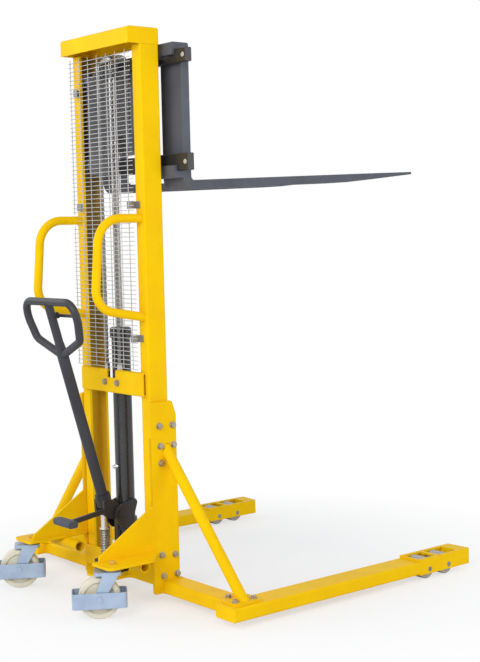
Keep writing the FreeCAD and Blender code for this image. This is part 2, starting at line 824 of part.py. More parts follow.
# Load rollers and their axles
leg_mid_y = (leg_inner_y + leg_outer_y) / 2
half_tread = load_roller_width / 2
half_hub = load_roller_hub_width / 2
roller_bore = load_axle_radius + running_clearance
load_profile = (
    (roller_bore, -half_hub), (load_roller_hub_radius, -half_hub), (load_roller_hub_radius, -half_tread),
    (load_roller_radius - load_roller_chamfer, -half_tread),
    (load_roller_radius, load_roller_chamfer - half_tread),
    (load_roller_radius, half_tread - load_roller_chamfer),
    (load_roller_radius - load_roller_chamfer, half_tread),
    (load_roller_hub_radius, half_tread), (load_roller_hub_radius, half_hub), (roller_bore, half_hub))
load_axles = []
for roller_x, place in zip(roller_xs, ("rear", "front")):
    roller = turned(load_profile, V(roller_x, leg_mid_y, load_roller_radius), V(0, 1, 0))
    nodes["load_roller_" + place + "_left"] = roller
    nodes["load_roller_" + place + "_right"] = mirrored(roller)
    axle = rod(V(roller_x, leg_inner_y, load_roller_radius), V(roller_x, leg_outer_y, load_roller_radius),
               load_axle_radius)
    load_axles += [axle, mirrored(axle)]
nodes["load_roller_axles"] = Part.makeCompound(load_axles)

# Leg braces: sloping tube with a bolted foot plate
foot_top_z = tube_high_z + foot_thickness
brace = rod(V(brace_top_x, mast_half_width, post_high_z - brace_top_drop),
            V(brace_foot_x, leg_inner_y + brace_foot_reach, tube_high_z - brace_foot_sink), brace_radius)
brace = brace.common(block(base_back_x, housing_back_x, post_outer_y, leg_outer_y, foot_top_z, mast_height))
foot_outline = (
    (foot_neck_back_x, leg_inner_y - foot_inner_reach), (foot_neck_front_x, leg_inner_y - foot_inner_reach),
    (foot_front_x, leg_inner_y + foot_shoulder_reach), (foot_front_x, leg_inner_y + foot_outer_reach),
    (foot_back_x, leg_inner_y + foot_outer_reach), (foot_back_x, leg_inner_y + foot_shoulder_reach))
foot = plate_xy(foot_outline, even(foot_outline, foot_corner), tube_high_z, foot_top_z)
brace = joined([brace, foot])
nodes["leg_brace_left"] = brace
nodes["leg_brace_right"] = mirrored(brace)


def bolt(base, axis):
    # washer under a hexagon head
    seat = base.add(V(axis).multiply(washer_height))
    return joined([rod(base, seat, washer_radius),
                   hexagon_head(seat, axis, bolt_head_radius, bolt_head_height)])


bolts = []
for x, drop in post_top_bolts:
    head = bolt(V(x, post_outer_y, post_high_z - drop), V(0, 1, 0))
    bolts += [head, mirrored(head)]
for x, rise in post_low_bolts:
    head = bolt(V(x, post_outer_y, post_low_z + rise), V(0, 1, 0))
    bolts += [head, mirrored(head)]
for x, outward in foot_bolts:
    head = bolt(V(x, leg_inner_y + outward, foot_top_z), V(0, 0, 1))
    bolts += [head, mirrored(head)]
for side in (-1, 1):
    bolts.append(bolt(V(cross_rear_x, side * chain_y, cross_low_z + anchor_bolt_rise), V(-1, 0, 0)))
nodes["frame_bolts"] = Part.makeCompound(bolts)

# Lift cylinder: barrel, gland, rod with piston
centre = V(cylinder_x, 0, 0)
up = V(0, 0, 1)
barrel_foot_z = channel_foot_z + barrel_foot_height
bore_floor_z = channel_foot_z + barrel_floor
barrel_profile = (
    (0, channel_foot_z), (barrel_foot_radius, channel_foot_z), (barrel_foot_radius, barrel_foot_z),
    (barrel_radius, barrel_foot_z), (barrel_radius, barrel_top_z), (barrel_bore, barrel_top_z),
    (barrel_bore, bore_floor_z), (0, bore_floor_z))
nodes["cylinder_barrel"] = turned(barrel_profile, centre, up)
gland = rod(V(cylinder_x, 0, barrel_top_z), V(cylinder_x, 0, gland_top_z), gland_radius)
gland_edges = [edge for edge in gland.Edges if edge.BoundBox.ZMin > barrel_top_z]
gland = gland.makeFillet(gland_round, gland_edges)
gland = gland.cut(rod(V(cylinder_x, 0, barrel_top_z), V(cylinder_x, 0, gland_top_z),
                      rod_radius + running_clearance))
nodes["cylinder_gland"] = gland
piston_radius = barrel_bore - running_clearance
rod_profile = (
    (0, piston_low_z), (piston_radius, piston_low_z), (piston_radius, piston_high_z),
    (rod_radius, piston_high_z),
    (rod_radius, rod_top_z), (0, rod_top_z))
nodes["lift_rod"] = turned(rod_profile, centre, up)

# Yoke on the rod end with the pulley pin
yoke_outline = (
    (cylinder_x - yoke_half_depth, rod_top_z), (cylinder_x + yoke_half_depth, rod_top_z),
    (cylinder_x + yoke_half_depth, yoke_top_z), (cylinder_x - yoke_half_depth, yoke_top_z))
groove_half = chain_width / 2 + curved_gap
pulley_half = groove_half + pulley_flange
yoke_half_width = chain_y - pulley_half - yoke_side_gap
collar_start = chain_y + pulley_half + curved_gap
yoke_pin_reach = collar_start + yoke_collar_width
yoke = plate_xz(yoke_outline, (0, 0, yoke_round, yoke_round), -yoke_half_width, yoke_half_width)
yoke_parts = [yoke, rod(V(cylinder_x, -yoke_pin_reach, pulley_z),
                        V(cylinder_x, yoke_pin_reach, pulley_z), pulley_bore)]
for side in (-1, 1):
    yoke_parts.append(rod(V(cylinder_x, side * collar_start, pulley_z),
                          V(cylinder_x, side * yoke_pin_reach, pulley_z),
                          yoke_collar_radius))
nodes["pulley_yoke"] = joined(yoke_parts)

# Chain pulleys with flanged grooves
groove_radius = pulley_pitch_radius - chain_thickness / 2 - curved_gap
pulley_profile = (
    (pulley_bore + running_clearance, -pulley_half), (pulley_flange_radius, -pulley_half),
    (pulley_flange_radius, -groove_half), (groove_radius, -groove_half), (groove_radius, groove_half),
    (pulley_flange_radius, groove_half), (pulley_flange_radius, pulley_half),
    (pulley_bore + running_clearance, pulley_half))
pulley = turned(pulley_profile, V(cylinder_x, chain_y, pulley_z), V(0, 1, 0))
nodes["chain_pulleys"] = Part.makeCompound([pulley, mirrored(pulley)])

# Leaf chains: rear strands to the anchors, half turns over the pulleys, front strands to the carriage
chain_low_y = chain_y - chain_width / 2
chain_high_y = chain_y + chain_width / 2


def chain_strand(mid_x, low_z, high_z):
    links = round((high_z - low_z) / chain_pitch)
    step = (high_z - low_z) / links / 2
    half = chain_thickness / 2
    near = []
    far = []
    for i in range(2 * links + 1):
        waist = chain_waist if i % 2 else 0
        near.append((mid_x - half + waist, low_z + i * step))
        far.append((mid_x + half - waist, low_z + i * step))
    outline = near + far[::-1]
    strand = plate_xz(outline, even(outline, 0), chain_low_y, chain_high_y)
    return Part.makeCompound([strand, mirrored(strand)])


nodes["rear_chains"] = chain_strand(cylinder_x - pulley_pitch_radius, anchor_high_z, pulley_z)
nodes["front_chains"] = chain_strand(cylinder_x + pulley_pitch_radius, lug_high_z, pulley_z)
wrap = ring(V(cylinder_x, chain_low_y, pulley_z), V(cylinder_x, chain_high_y, pulley_z),
            pulley_pitch_radius + chain_thickness / 2, pulley_pitch_radius - chain_thickness / 2)
wrap = wrap.common(block(cylinder_x - 2 * pulley_pitch_radius, cylinder_x + 2 * pulley_pitch_radius,
                         chain_low_y, chain_high_y, pulley_z, mast_height))
nodes["chain_wraps"] = Part.makeCompound([wrap, mirrored(wrap)])
anchor = block(cross_front_x, cross_front_x + anchor_depth,
               chain_y - anchor_width / 2, chain_y + anchor_width / 2, anchor_low_z, anchor_high_z)
nodes["chain_anchors"] = Part.makeCompound([anchor, mirrored(anchor)])

# Carriage side plates with the guide roller pins
side_outline = (
    (side_back_x, side_low_z), (side_tab_x, side_low_z), (side_tab_x, side_tab_low_z),
    (bar_back_x, side_tab_low_z),
    (bar_back_x, lower_bar_high_z), (carriage_plate_front_x, lower_bar_high_z + side_relief_low_rise),
    (carriage_plate_front_x, upper_bar_low_z - side_relief_high_drop), (bar_back_x, upper_bar_low_z),
    (bar_back_x, side_tab_high_z),
    (side_shoulder_x, side_tab_high_z), (side_back_x, side_tab_high_z - side_shoulder_drop))
side_radii = (side_corner, side_tab_corner, 0, 0, 0, 0, side_corner, 0, 0, side_corner, side_corner)
side_parts = [plate_xz(side_outline, side_radii, side_inner_y, side_outer_y)]
for height in guide_heights:
    side_parts.append(rod(V(guide_x, side_outer_y, height), V(guide_x, guide_outer_y, height), guide_bore))
    side_parts.append(rod(V(guide_x, side_outer_y, height), V(guide_x, guide_inner_y - curved_gap, height),
                          guide_collar_radius))
side_plate = joined(side_parts)
nodes["carriage_sides"] = Part.makeCompound([side_plate, mirrored(side_plate)])

# Guide rollers running between the channel flanges
guide_half = (guide_outer_y - guide_inner_y) / 2
guide_wall = guide_bore + running_clearance
guide_profile = (
    (guide_wall, -guide_half), (guide_radius - guide_chamfer, -guide_half),
    (guide_radius, guide_chamfer - guide_half),
    (guide_radius, guide_half - guide_chamfer), (guide_radius - guide_chamfer, guide_half),
    (guide_recess_radius, guide_half), (guide_recess_radius, guide_half - guide_recess_depth),
    (guide_wall, guide_half - guide_recess_depth))
for height, place in zip(guide_heights, ("lower", "upper")):
    roller = turned(guide_profile, V(guide_x, guide_inner_y + guide_half, height), V(0, 1, 0))
    nodes["guide_roller_" + place + "_left"] = roller
    nodes["guide_roller_" + place + "_right"] = mirrored(roller)


def fork_bar(low_z, high_z):
    outline = ((bar_back_x, low_z), (bar_front_x, low_z), (bar_front_x, high_z), (bar_back_x, high_z))
    bar = plate_xz(outline, even(outline, bar_round), -bar_half_length, bar_half_length)
    mid_z = (low_z + high_z) / 2
    for side in (-1, 1):
        bar = bar.cut(rod(V(bar_back_x, side * bar_hole_y, mid_z), V(bar_front_x, side * bar_hole_y, mid_z),
                          bar_hole_radius))
    return bar


nodes["upper_fork_bar"] = fork_bar(upper_bar_low_z, upper_bar_high_z)
nodes["lower_fork_bar"] = fork_bar(lower_bar_low_z, lower_bar_high_z)

# Chain plate across the carriage with two lugs
plate_outline = (
    (-side_inner_y, carriage_plate_low_z), (side_inner_y, carriage_plate_low_z),
    (side_inner_y, carriage_plate_high_z),
    (carriage_plate_half_dip, carriage_plate_high_z - carriage_plate_dip),
    (-carriage_plate_half_dip, carriage_plate_high_z - carriage_plate_dip),
    (-side_inner_y, carriage_plate_high_z))
plate_radii = (0, 0, 0, carriage_plate_bend, carriage_plate_bend, 0)
chain_plate = plate_yz(plate_outline, plate_radii, carriage_plate_back_x, carriage_plate_front_x)
lug_outline = (
    (carriage_plate_back_x, carriage_plate_low_z), (carriage_plate_back_x, lug_high_z),
    (lug_back_x, lug_high_z),
    (lug_back_x, carriage_plate_low_z + lug_knee_rise))
lug = plate_xz(lug_outline, even(lug_outline, 0), chain_y - lug_width / 2, chain_y + lug_width / 2)
nodes["carriage_plate"] = joined([chain_plate, lug, mirrored(lug)])

# Forks: hooked shank, turned heel, raked blade that thins and narrows to the tip
blade_slope = (fork_tip_z - blade_top_heel_z) / (fork_tip_x - shank_front_x)


def blade_top(x):
    return blade_top_heel_z + blade_slope * (x - shank_front_x)


hook_over_z = upper_bar_high_z + sliding_gap
hook_under_z = lower_bar_low_z - sliding_gap
fork_outline = (
    (shank_back_x, blade_top(shank_back_x) - blade_thickness),
    (fork_taper_x, blade_top(fork_taper_x) - blade_thickness),
    (fork_tip_x, fork_tip_z - fork_tip_thickness), (fork_tip_x, fork_tip_z),
    (shank_front_x, blade_top_heel_z),
    (shank_front_x, shank_top_z), (hook_back_x, shank_top_z),
    (hook_back_x, upper_bar_high_z - hook_lip_depth),
    (lip_front_x, upper_bar_high_z - hook_lip_depth), (lip_front_x, hook_over_z),
    (shank_back_x, hook_over_z),
    (shank_back_x, hook_under_z), (lip_front_x, hook_under_z),
    (lip_front_x, lower_bar_low_z + hook_lip_depth),
    (hook_back_x, lower_bar_low_z + hook_lip_depth), (hook_back_x, hook_drop_z), (shank_back_x, hook_drop_z))
fork_radii = (heel_outer_radius, 0, 0, 0, heel_inner_radius, hook_round, hook_round, 0, 0, 0, 0, 0, 0, 0,
              0, hook_round, 0)
fork_mid_y = fork_inner_y + fork_width / 2
fork = plate_xz(fork_outline, fork_radii, fork_inner_y, fork_outer_y)
plan_outline = (
    (hook_back_x, fork_inner_y), (fork_plan_taper_x, fork_inner_y),
    (fork_tip_x, fork_mid_y - fork_tip_half_width),
    (fork_tip_x, fork_mid_y + fork_tip_half_width), (fork_plan_taper_x, fork_outer_y),
    (hook_back_x, fork_outer_y))
plan_radii = (0, 0, fork_tip_round, fork_tip_round, 0, 0)
fork = fork.common(plate_xy(plan_outline, plan_radii, blade_top_heel_z - 2 * blade_thickness, shank_top_z))
nodes["fork_left"] = fork
nodes["fork_right"] = mirrored(fork)

# Pump body: block on the shelf, rib up to a band round the barrel, two webs for the pivot pin
pump_outline = (
    (pump_block_back_x, -pump_block_half_width), (pump_block_front_x, -pump_block_half_width),
    (pump_block_front_x, pump_block_half_width), (pump_block_back_x, pump_block_half_width))
pump_radii = (pump_block_round, 0, 0, pump_block_round)
pump_block = plate_xy(pump_outline, pump_radii, channel_foot_z, pump_block_top_z)
pump_rib = block(pump_rib_back_x, pump_rib_front_x, -pump_rib_half_width, pump_rib_half_width,
                 pump_block_top_z, band_high_z)
pump_rib_foot = block(pump_rib_back_x, pump_block_front_x, -pump_rib_half_width, pump_rib_half_width,
                      channel_foot_z, pump_block_top_z)
band = rod(V(cylinder_x, 0, band_low_z), V(cylinder_x, 0, band_high_z), band_radius)
web_outline = [(pivot_x + back, pivot_z + rise) for back, rise in web_shape]
web = plate_xz(web_outline, even(web_outline, web_round), web_inner_y, web_outer_y)
pump = joined([pump_block, pump_rib, pump_rib_foot, band, web, mirrored(web)])
pump = pump.cut(rod(V(cylinder_x, 0, band_low_z), V(cylinder_x, 0, band_high_z), barrel_radius + band_gap))
pivot_bore = rod(V(pivot_x, -pivot_pin_reach, pivot_z), V(pivot_x, pivot_pin_reach, pivot_z),
                 pivot_pin_radius + running_clearance)
plunger_bore = rod(V(pump_x, 0, plunger_bore_z), V(pump_x, 0, pump_block_top_z),
                   plunger_radius + running_clearance)
nodes["pump_body"] = pump.cut([pivot_bore, plunger_bore])

# Pivot pin with a head each side
pin_parts = [rod(V(pivot_x, -pivot_pin_reach, pivot_z), V(pivot_x, pivot_pin_reach, pivot_z),
                 pivot_pin_radius)]
for side in (-1, 1):
    pin_parts.append(rod(V(pivot_x, side * web_outer_y, pivot_z),
                         V(pivot_x, side * (web_outer_y + pivot_head_height), pivot_z), pivot_head_radius))
nodes["crosshead_pin"] = joined(pin_parts)

# Pump plunger with its spring seat and cap
seat_top_z = plunger_seat_z + plunger_seat_height
plunger_profile = (
    (0, plunger_low_z), (plunger_radius, plunger_low_z), (plunger_radius, plunger_seat_z),
    (plunger_seat_radius, plunger_seat_z), (plunger_seat_radius, seat_top_z),
    (plunger_cap_radius, seat_top_z),
    (plunger_cap_radius, plunger_top_z), (0, plunger_top_z))
nodes["pump_plunger"] = turned(plunger_profile, V(pump_x, 0, 0), up)

# Return spring wound round the plunger, in pairs of arcs for each half turn
spring_low_z = pump_block_top_z + spring_wire / 2 + spring_seat_gap
spring_high_z = plunger_seat_z - spring_wire / 2 - spring_seat_gap
spring_rise = (spring_high_z - spring_low_z) / spring_turns


def spring_point(turn):
    angle = 2 * math.pi * turn
    return V(pump_x + spring_mean_radius * math.cos(angle), spring_mean_radius * math.sin(angle),
             spring_low_z + spring_rise * turn)


def spring_heading(turn):
    angle = 2 * math.pi * turn
    return V(-math.sin(angle), math.cos(angle), spring_rise / (2 * math.pi * spring_mean_radius)).normalize()


def tangent_arc(start, knee, end):
    middle = start.add(end).multiply(0.5)
    rise = knee.sub(middle)
    chord = end.sub(start).Length / 2
    slope = math.atan2(rise.Length, chord)
    return Part.Arc(start, middle.add(rise.multiply(math.tan(slope / 2) / math.tan(slope))), end).toShape()


spring_edges = []
lead_in = spring_point(0).sub(spring_heading(0).multiply(spring_wire))
spring_edges.append(Part.makeLine(lead_in, spring_point(0)))
for half in range(2 * spring_turns):
    first = spring_point(half / 2)
    last = spring_point((half + 1) / 2)
    head = spring_heading(half / 2)
    tail = spring_heading((half + 1) / 2)
    span = last.sub(first)
    both = head.add(tail)
    bend = 2 * (1 - head.dot(tail))
    reach = (math.sqrt(span.dot(both) ** 2 + bend * span.dot(span)) - span.dot(both)) / bend
    knee_a = first.add(V(head).multiply(reach))
    knee_b = last.sub(V(tail).multiply(reach))
    meet = knee_a.add(knee_b).multiply(0.5)
    spring_edges.append(tangent_arc(first, knee_a, meet))
    spring_edges.append(tangent_arc(meet, knee_b, last))
lead_out = spring_point(spring_turns).add(spring_heading(spring_turns).multiply(spring_wire))
spring_edges.append(Part.makeLine(spring_point(spring_turns), lead_out))
spring_path = Part.Wire(spring_edges)
spring_section = Part.Wire([Part.makeCircle(spring_wire / 2, lead_in, spring_heading(0))])
nodes["pump_spring"] = spring_path.makePipeShell([spring_section], True, False)
path_points = []
for edge in spring_edges:
    path_points += edge.discretize(12)
apart = 3 * spring_wire
least = spring_mean_radius
travel = [0]
for i in range(1, len(path_points)):
    travel.append(travel[-1] + path_points[i].distanceToPoint(path_points[i - 1]))
for i in range(len(path_points)):
    for j in range(i + 1, len(path_points)):
        if travel[j] - travel[i] > apart:
            least = min(least, path_points[i].distanceToPoint(path_points[j]) - spring_wire)
print("least gap of the spring to itself, mm:", round(least, 2))

# Tiller frame: along the stem, across it, and square to its plane towards the operator
lean = math.radians(tiller_lean)
stem_dir = V(-math.sin(lean), 0, math.cos(lean))
plane_dir = V(math.cos(lean), 0, math.sin(lean))
tiller_foot = V(tiller_foot_x, 0, tiller_foot_z)


def on_tiller(across, along, out=0):
    point = tiller_foot.add(V(stem_dir).multiply(along))
    point = point.add(V(plane_dir).multiply(out))
    return point.add(V(0, across, 0))


# Pedal pad, ribbed across the top
pedal_half = pedal_depth / 2
pad_half = pedal_thickness / 2
pedal_outline = (
    (pedal_x - pedal_half, pedal_z - pad_half), (pedal_x + pedal_half, pedal_z - pad_half),
    (pedal_x + pedal_half, pedal_z + pad_half), (pedal_x - pedal_half, pedal_z + pad_half))
pedal_low_y = pedal_y - pedal_length / 2
pedal_high_y = pedal_y + pedal_length / 2
pad = plate_xz(pedal_outline, even(pedal_outline, pedal_round), pedal_low_y, pedal_high_y)
rib_step = pedal_length / pedal_groove_count
for i in range(pedal_groove_count):
    groove_y = pedal_low_y + (i + 0.5) * rib_step
    pad = pad.cut(block(pedal_x - pedal_half, pedal_x + pedal_half, groove_y, groove_y + pedal_groove,
                        pedal_z + pad_half - pedal_groove, pedal_z + pad_half))
nodes["pedal_pad"] = pad

# Crosshead: two cheeks, push roller, stem socket and pedal arm
cheek_outline = [(pivot_x + back, pivot_z + rise) for back, rise in cheek_shape]
cheek = plate_xz(cheek_outline, even(cheek_outline, cheek_round), cheek_inner_y, cheek_outer_y)
push_roller = rod(V(pump_x, -cheek_outer_y, push_roller_z), V(pump_x, cheek_outer_y, push_roller_z),
                  push_roller_radius)
socket = rod(on_tiller(0, 0), on_tiller(0, socket_length), socket_radius)
arm_outline = (
    (pump_x, push_roller_z), (pump_x, push_roller_z + pedal_arm_height),
    (pedal_x, pedal_z + pedal_arm_height / 2), (pedal_x, pedal_z - pedal_arm_height / 2))
arm = plate_xz(arm_outline, even(arm_outline, 0), -cheek_outer_y, -cheek_inner_y)
crosshead = joined([cheek, mirrored(cheek), push_roller, socket, arm])
pedal_room = plate_xz(pedal_outline, even(pedal_outline, pedal_round), pedal_low_y, pedal_high_y)
nodes["pump_crosshead"] = crosshead.cut([pivot_bore, pedal_room])

# Tiller stem with its spine and lever stud, and the handle loop
root_profile = (
    (0, socket_length), (stem_radius, socket_length), (stem_radius, stem_neck),
    (spine_radius, spine_start), (0, spine_start))
stem_root = turned(root_profile, tiller_foot, stem_dir)
loop_path = [on_tiller(across, along) for across, along in (
    (0, loop_root), (-loop_half_low, loop_low), (-loop_half_widest, loop_widest), (-loop_half_top, loop_top),
    (loop_half_top, loop_top), (loop_half_widest, loop_widest), (loop_half_low, loop_low), (0, loop_root))]
loop_radii = (0, loop_low_bend, loop_side_bend, loop_top_bend, loop_top_bend, loop_side_bend,
              loop_low_bend, 0)
loop_tube = bent_tube(loop_path, loop_radii, loop_radius)
nodes["handle_loop"] = loop_tube.cut(stem_root)
spine = rod(on_tiller(0, spine_start), on_tiller(0, loop_top - loop_radius / 2), spine_radius).cut(loop_tube)
stud_end = lever_offset + lever_thickness + 2 * sliding_gap
stud = joined([
    rod(on_tiller(0, lever_pivot), on_tiller(0, lever_pivot, lever_offset), lever_boss_radius),
    rod(on_tiller(0, lever_pivot), on_tiller(0, lever_pivot, stud_end), lever_pin_radius),
    rod(on_tiller(0, lever_pivot, stud_end), on_tiller(0, lever_pivot, stud_end + lever_head_height),
        lever_head_radius)])
nodes["tiller_stem"] = joined([stem_root, spine, stud])

# Release lever, hooked at its end
lever_low = lever_offset + sliding_gap
half_lever = lever_width / 2
lever_outline = (
    (0, lever_pivot + half_lever), (-lever_reach, lever_pivot + half_lever),
    (-lever_reach, lever_pivot - lever_hook_drop),
    (lever_hook - lever_reach, lever_pivot - lever_hook_drop),
    (lever_hook - lever_reach, lever_pivot - half_lever),
    (0, lever_pivot - half_lever))
lever_wire = rounded_wire([on_tiller(across, along, lever_low) for across, along in lever_outline],
                          (0, lever_hook, lever_corner, lever_corner, lever_corner, 0))
lever = Part.Face(lever_wire).extrude(V(plane_dir).multiply(lever_thickness))
eye_start = on_tiller(0, lever_pivot, lever_low)
eye_end = on_tiller(0, lever_pivot, lever_low + lever_thickness)
lever = joined([lever, rod(eye_start, eye_end, lever_eye_radius)])
nodes["release_lever"] = lever.cut(rod(eye_start, eye_end, lever_pin_radius + running_clearance))

# Bleed fitting behind the barrel
nodes["bleed_fitting"] = joined([
    rod(V(barrel_back_x, 0, fitting_z), V(barrel_back_x - fitting_collar_length, 0, fitting_z),
        fitting_collar),
    rod(V(barrel_back_x, 0, fitting_z), V(barrel_back_x - fitting_length, 0, fitting_z), fitting_radius)])


# Caster yoke: race, kingpin, crown, two leg plates and the axle
crown_outline = (
    (crown_back, -leg_plate_outer), (crown_front, -leg_plate_outer), (crown_front, leg_plate_outer),
    (crown_back, leg_plate_outer))
crown = plate_xy(crown_outline, even(crown_outline, crown_corner), crown_low_z, crown_high_z)
race_profile = (
    (0, crown_high_z), (race_waist_radius, crown_high_z), (race_radius, (crown_high_z + bracket_low_z) / 2),
    (race_waist_radius, bracket_low_z), (kingpin_radius, bracket_low_z),
    (kingpin_radius, bracket_top_z + kingpin_rise),
    (0, bracket_top_z + kingpin_rise))
race = turned(race_profile, V(0, 0, 0), up)
nut = hexagon_head(V(0, 0, bracket_top_z), up, kingpin_nut_radius, kingpin_nut_height)
leg_plate_outline = (
    (leg_plate_top_back, crown_high_z), (leg_plate_top_front, crown_high_z),
    (leg_plate_eye - caster_trail, wheel_radius),
    (leg_plate_eye - caster_trail, wheel_radius - leg_plate_eye),
    (-leg_plate_eye - caster_trail, wheel_radius - leg_plate_eye),
    (-leg_plate_eye - caster_trail, wheel_radius))
leg_plate_radii = (0, 0, leg_plate_bend, leg_plate_end_radius, leg_plate_end_radius, leg_plate_bend)
leg_plate = plate_xz(leg_plate_outline, leg_plate_radii, leg_plate_inner, leg_plate_outer)
guard_centre = -caster_trail
axle_end = guard_half_width + caster_head_height
axle = rod(V(-caster_trail, -axle_end, wheel_radius), V(-caster_trail, axle_end, wheel_radius),
           caster_axle_radius)
yoke_solids = [crown, race, nut, leg_plate, mirrored(leg_plate), axle]
for side in (-1, 1):
    yoke_solids.append(rod(V(-caster_trail, side * guard_half_width, wheel_radius),
                           V(-caster_trail, side * axle_end, wheel_radius), caster_head_radius))
    yoke_solids.append(rod(V(-caster_trail, side * leg_plate_inner, wheel_radius),
                           V(-caster_trail, side * guard_inner, wheel_radius), caster_head_radius))
caster_yoke = joined(yoke_solids)

# Toe guard: a rounded band round the wheel
guard_outline = (
    (guard_centre - guard_half_length, -guard_half_width),
    (guard_centre + guard_half_length, -guard_half_width),
    (guard_centre + guard_half_length, guard_half_width),
    (guard_centre - guard_half_length, guard_half_width))
guard_bore = (
    (guard_centre - guard_half_length + guard_wall, -guard_inner),
    (guard_centre + guard_half_length - guard_wall, -guard_inner),
    (guard_centre + guard_half_length - guard_wall, guard_inner),
    (guard_centre - guard_half_length + guard_wall, guard_inner))
toe_guard = plate_xy(guard_outline, even(guard_outline, guard_corner), guard_low_z, guard_high_z)
toe_guard = toe_guard.cut(plate_xy(guard_bore, even(guard_bore, guard_corner - guard_wall), guard_low_z,
                                   guard_high_z))
toe_guard = toe_guard.cut(rod(V(-caster_trail, -axle_end, wheel_radius),
                              V(-caster_trail, axle_end, wheel_radius),
                              caster_axle_radius + sliding_gap))

# Caster wheel with dished faces and a rounded tread
half_wheel = wheel_width / 2
half_wheel_hub = wheel_hub_width / 2
wheel_bore = caster_axle_radius + running_clearance
wheel_profile = (
    (wheel_bore, -half_wheel_hub), (wheel_hub_radius, -half_wheel_hub),
    (wheel_hub_radius, wheel_dish_depth - half_wheel),
    (wheel_dish_radius, wheel_dish_depth - half_wheel), (wheel_rim_radius, -half_wheel),
    (wheel_radius - wheel_tread_drop, -half_wheel), (wheel_radius, wheel_tread_round - half_wheel),
    (wheel_radius, half_wheel - wheel_tread_round), (wheel_radius - wheel_tread_drop, half_wheel),
    (wheel_rim_radius, half_wheel), (wheel_dish_radius, half_wheel - wheel_dish_depth),
    (wheel_hub_radius, half_wheel - wheel_dish_depth), (wheel_hub_radius, half_wheel_hub),
    (wheel_bore, half_wheel_hub))
wheel = turned(wheel_profile, V(-caster_trail, 0, wheel_radius), V(0, 1, 0))

for side, name in ((1, "left"), (-1, "right")):
    place = FreeCAD.Placement(V(caster_x, side * caster_y, 0), FreeCAD.Rotation(up, caster_turn))
    for shape, node in ((caster_yoke, "caster_yoke_"), (toe_guard, "toe_guard_"), (wheel, "caster_wheel_")):
        placed = shape.copy()
        placed.Placement = place.multiply(shape.Placement)
        nodes[node + name] = placed

# Origin at the bottom centre of the whole truck
whole = Part.makeCompound(list(nodes.values())).BoundBox
shift = V(-(whole.XMin + whole.XMax) / 2, -(whole.YMin + whole.YMax) / 2, -whole.ZMin)
print("shift of the mast datum, mm:", round(shift.x, 3), round(shift.y, 3), round(shift.z, 3))
print("extents, mm:", round(whole.XLength, 2), round(whole.YLength, 2), round(whole.ZLength, 2))
for node, shape in nodes.items():
    moved = shape.copy()
    moved.translate(shift)
    if not moved.isValid() or not all(solid.Volume > 0 for solid in moved.Solids):
        print("check", node)
    print(node, len(moved.Solids), round(moved.Volume))
    moved.exportStep("parts/" + node + ".step")
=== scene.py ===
import json
import math
import random

import bmesh
import bpy
from mathutils import Matrix, Vector


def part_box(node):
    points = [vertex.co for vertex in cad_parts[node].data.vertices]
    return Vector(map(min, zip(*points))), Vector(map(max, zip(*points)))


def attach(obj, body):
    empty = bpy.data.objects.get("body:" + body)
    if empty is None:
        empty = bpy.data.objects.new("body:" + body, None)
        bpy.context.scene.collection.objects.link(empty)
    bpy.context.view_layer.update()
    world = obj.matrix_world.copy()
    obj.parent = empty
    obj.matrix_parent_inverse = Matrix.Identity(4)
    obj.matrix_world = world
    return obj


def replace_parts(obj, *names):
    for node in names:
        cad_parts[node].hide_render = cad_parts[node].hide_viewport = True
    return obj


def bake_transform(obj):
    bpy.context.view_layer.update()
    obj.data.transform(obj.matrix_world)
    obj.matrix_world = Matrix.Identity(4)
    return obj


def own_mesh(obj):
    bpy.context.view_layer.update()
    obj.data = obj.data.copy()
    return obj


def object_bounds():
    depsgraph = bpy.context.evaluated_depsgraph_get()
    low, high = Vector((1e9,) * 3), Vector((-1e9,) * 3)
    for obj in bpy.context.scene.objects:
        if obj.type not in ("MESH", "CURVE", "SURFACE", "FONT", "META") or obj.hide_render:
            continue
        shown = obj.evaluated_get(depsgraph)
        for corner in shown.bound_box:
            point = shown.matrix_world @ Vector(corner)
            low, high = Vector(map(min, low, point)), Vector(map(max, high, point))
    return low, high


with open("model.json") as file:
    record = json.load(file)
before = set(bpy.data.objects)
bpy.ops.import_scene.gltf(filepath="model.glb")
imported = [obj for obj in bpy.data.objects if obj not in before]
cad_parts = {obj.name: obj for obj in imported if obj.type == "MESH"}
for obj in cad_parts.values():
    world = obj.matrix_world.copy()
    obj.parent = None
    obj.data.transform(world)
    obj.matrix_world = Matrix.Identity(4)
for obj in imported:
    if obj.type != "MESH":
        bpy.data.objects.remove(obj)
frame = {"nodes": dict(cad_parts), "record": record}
start_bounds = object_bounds()
nodes = frame["nodes"]
random.seed(7)

# Datum: the rear face of the mast, in the middle of the truck
datum_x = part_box("mast_channel_left")[0][0]

# Camera, worked out from the photograph
camera_from_mast = Vector((-2.6941, -4.0914, 1.3446))
camera_yaw = math.radians(51.077)
camera_pitch = math.radians(4.342)
camera_roll = math.radians(-1.3227)
focal_pixels = 1305.84
image_height_pixels = 662
sensor_height_mm = 24.0
camera_clip_end = 100


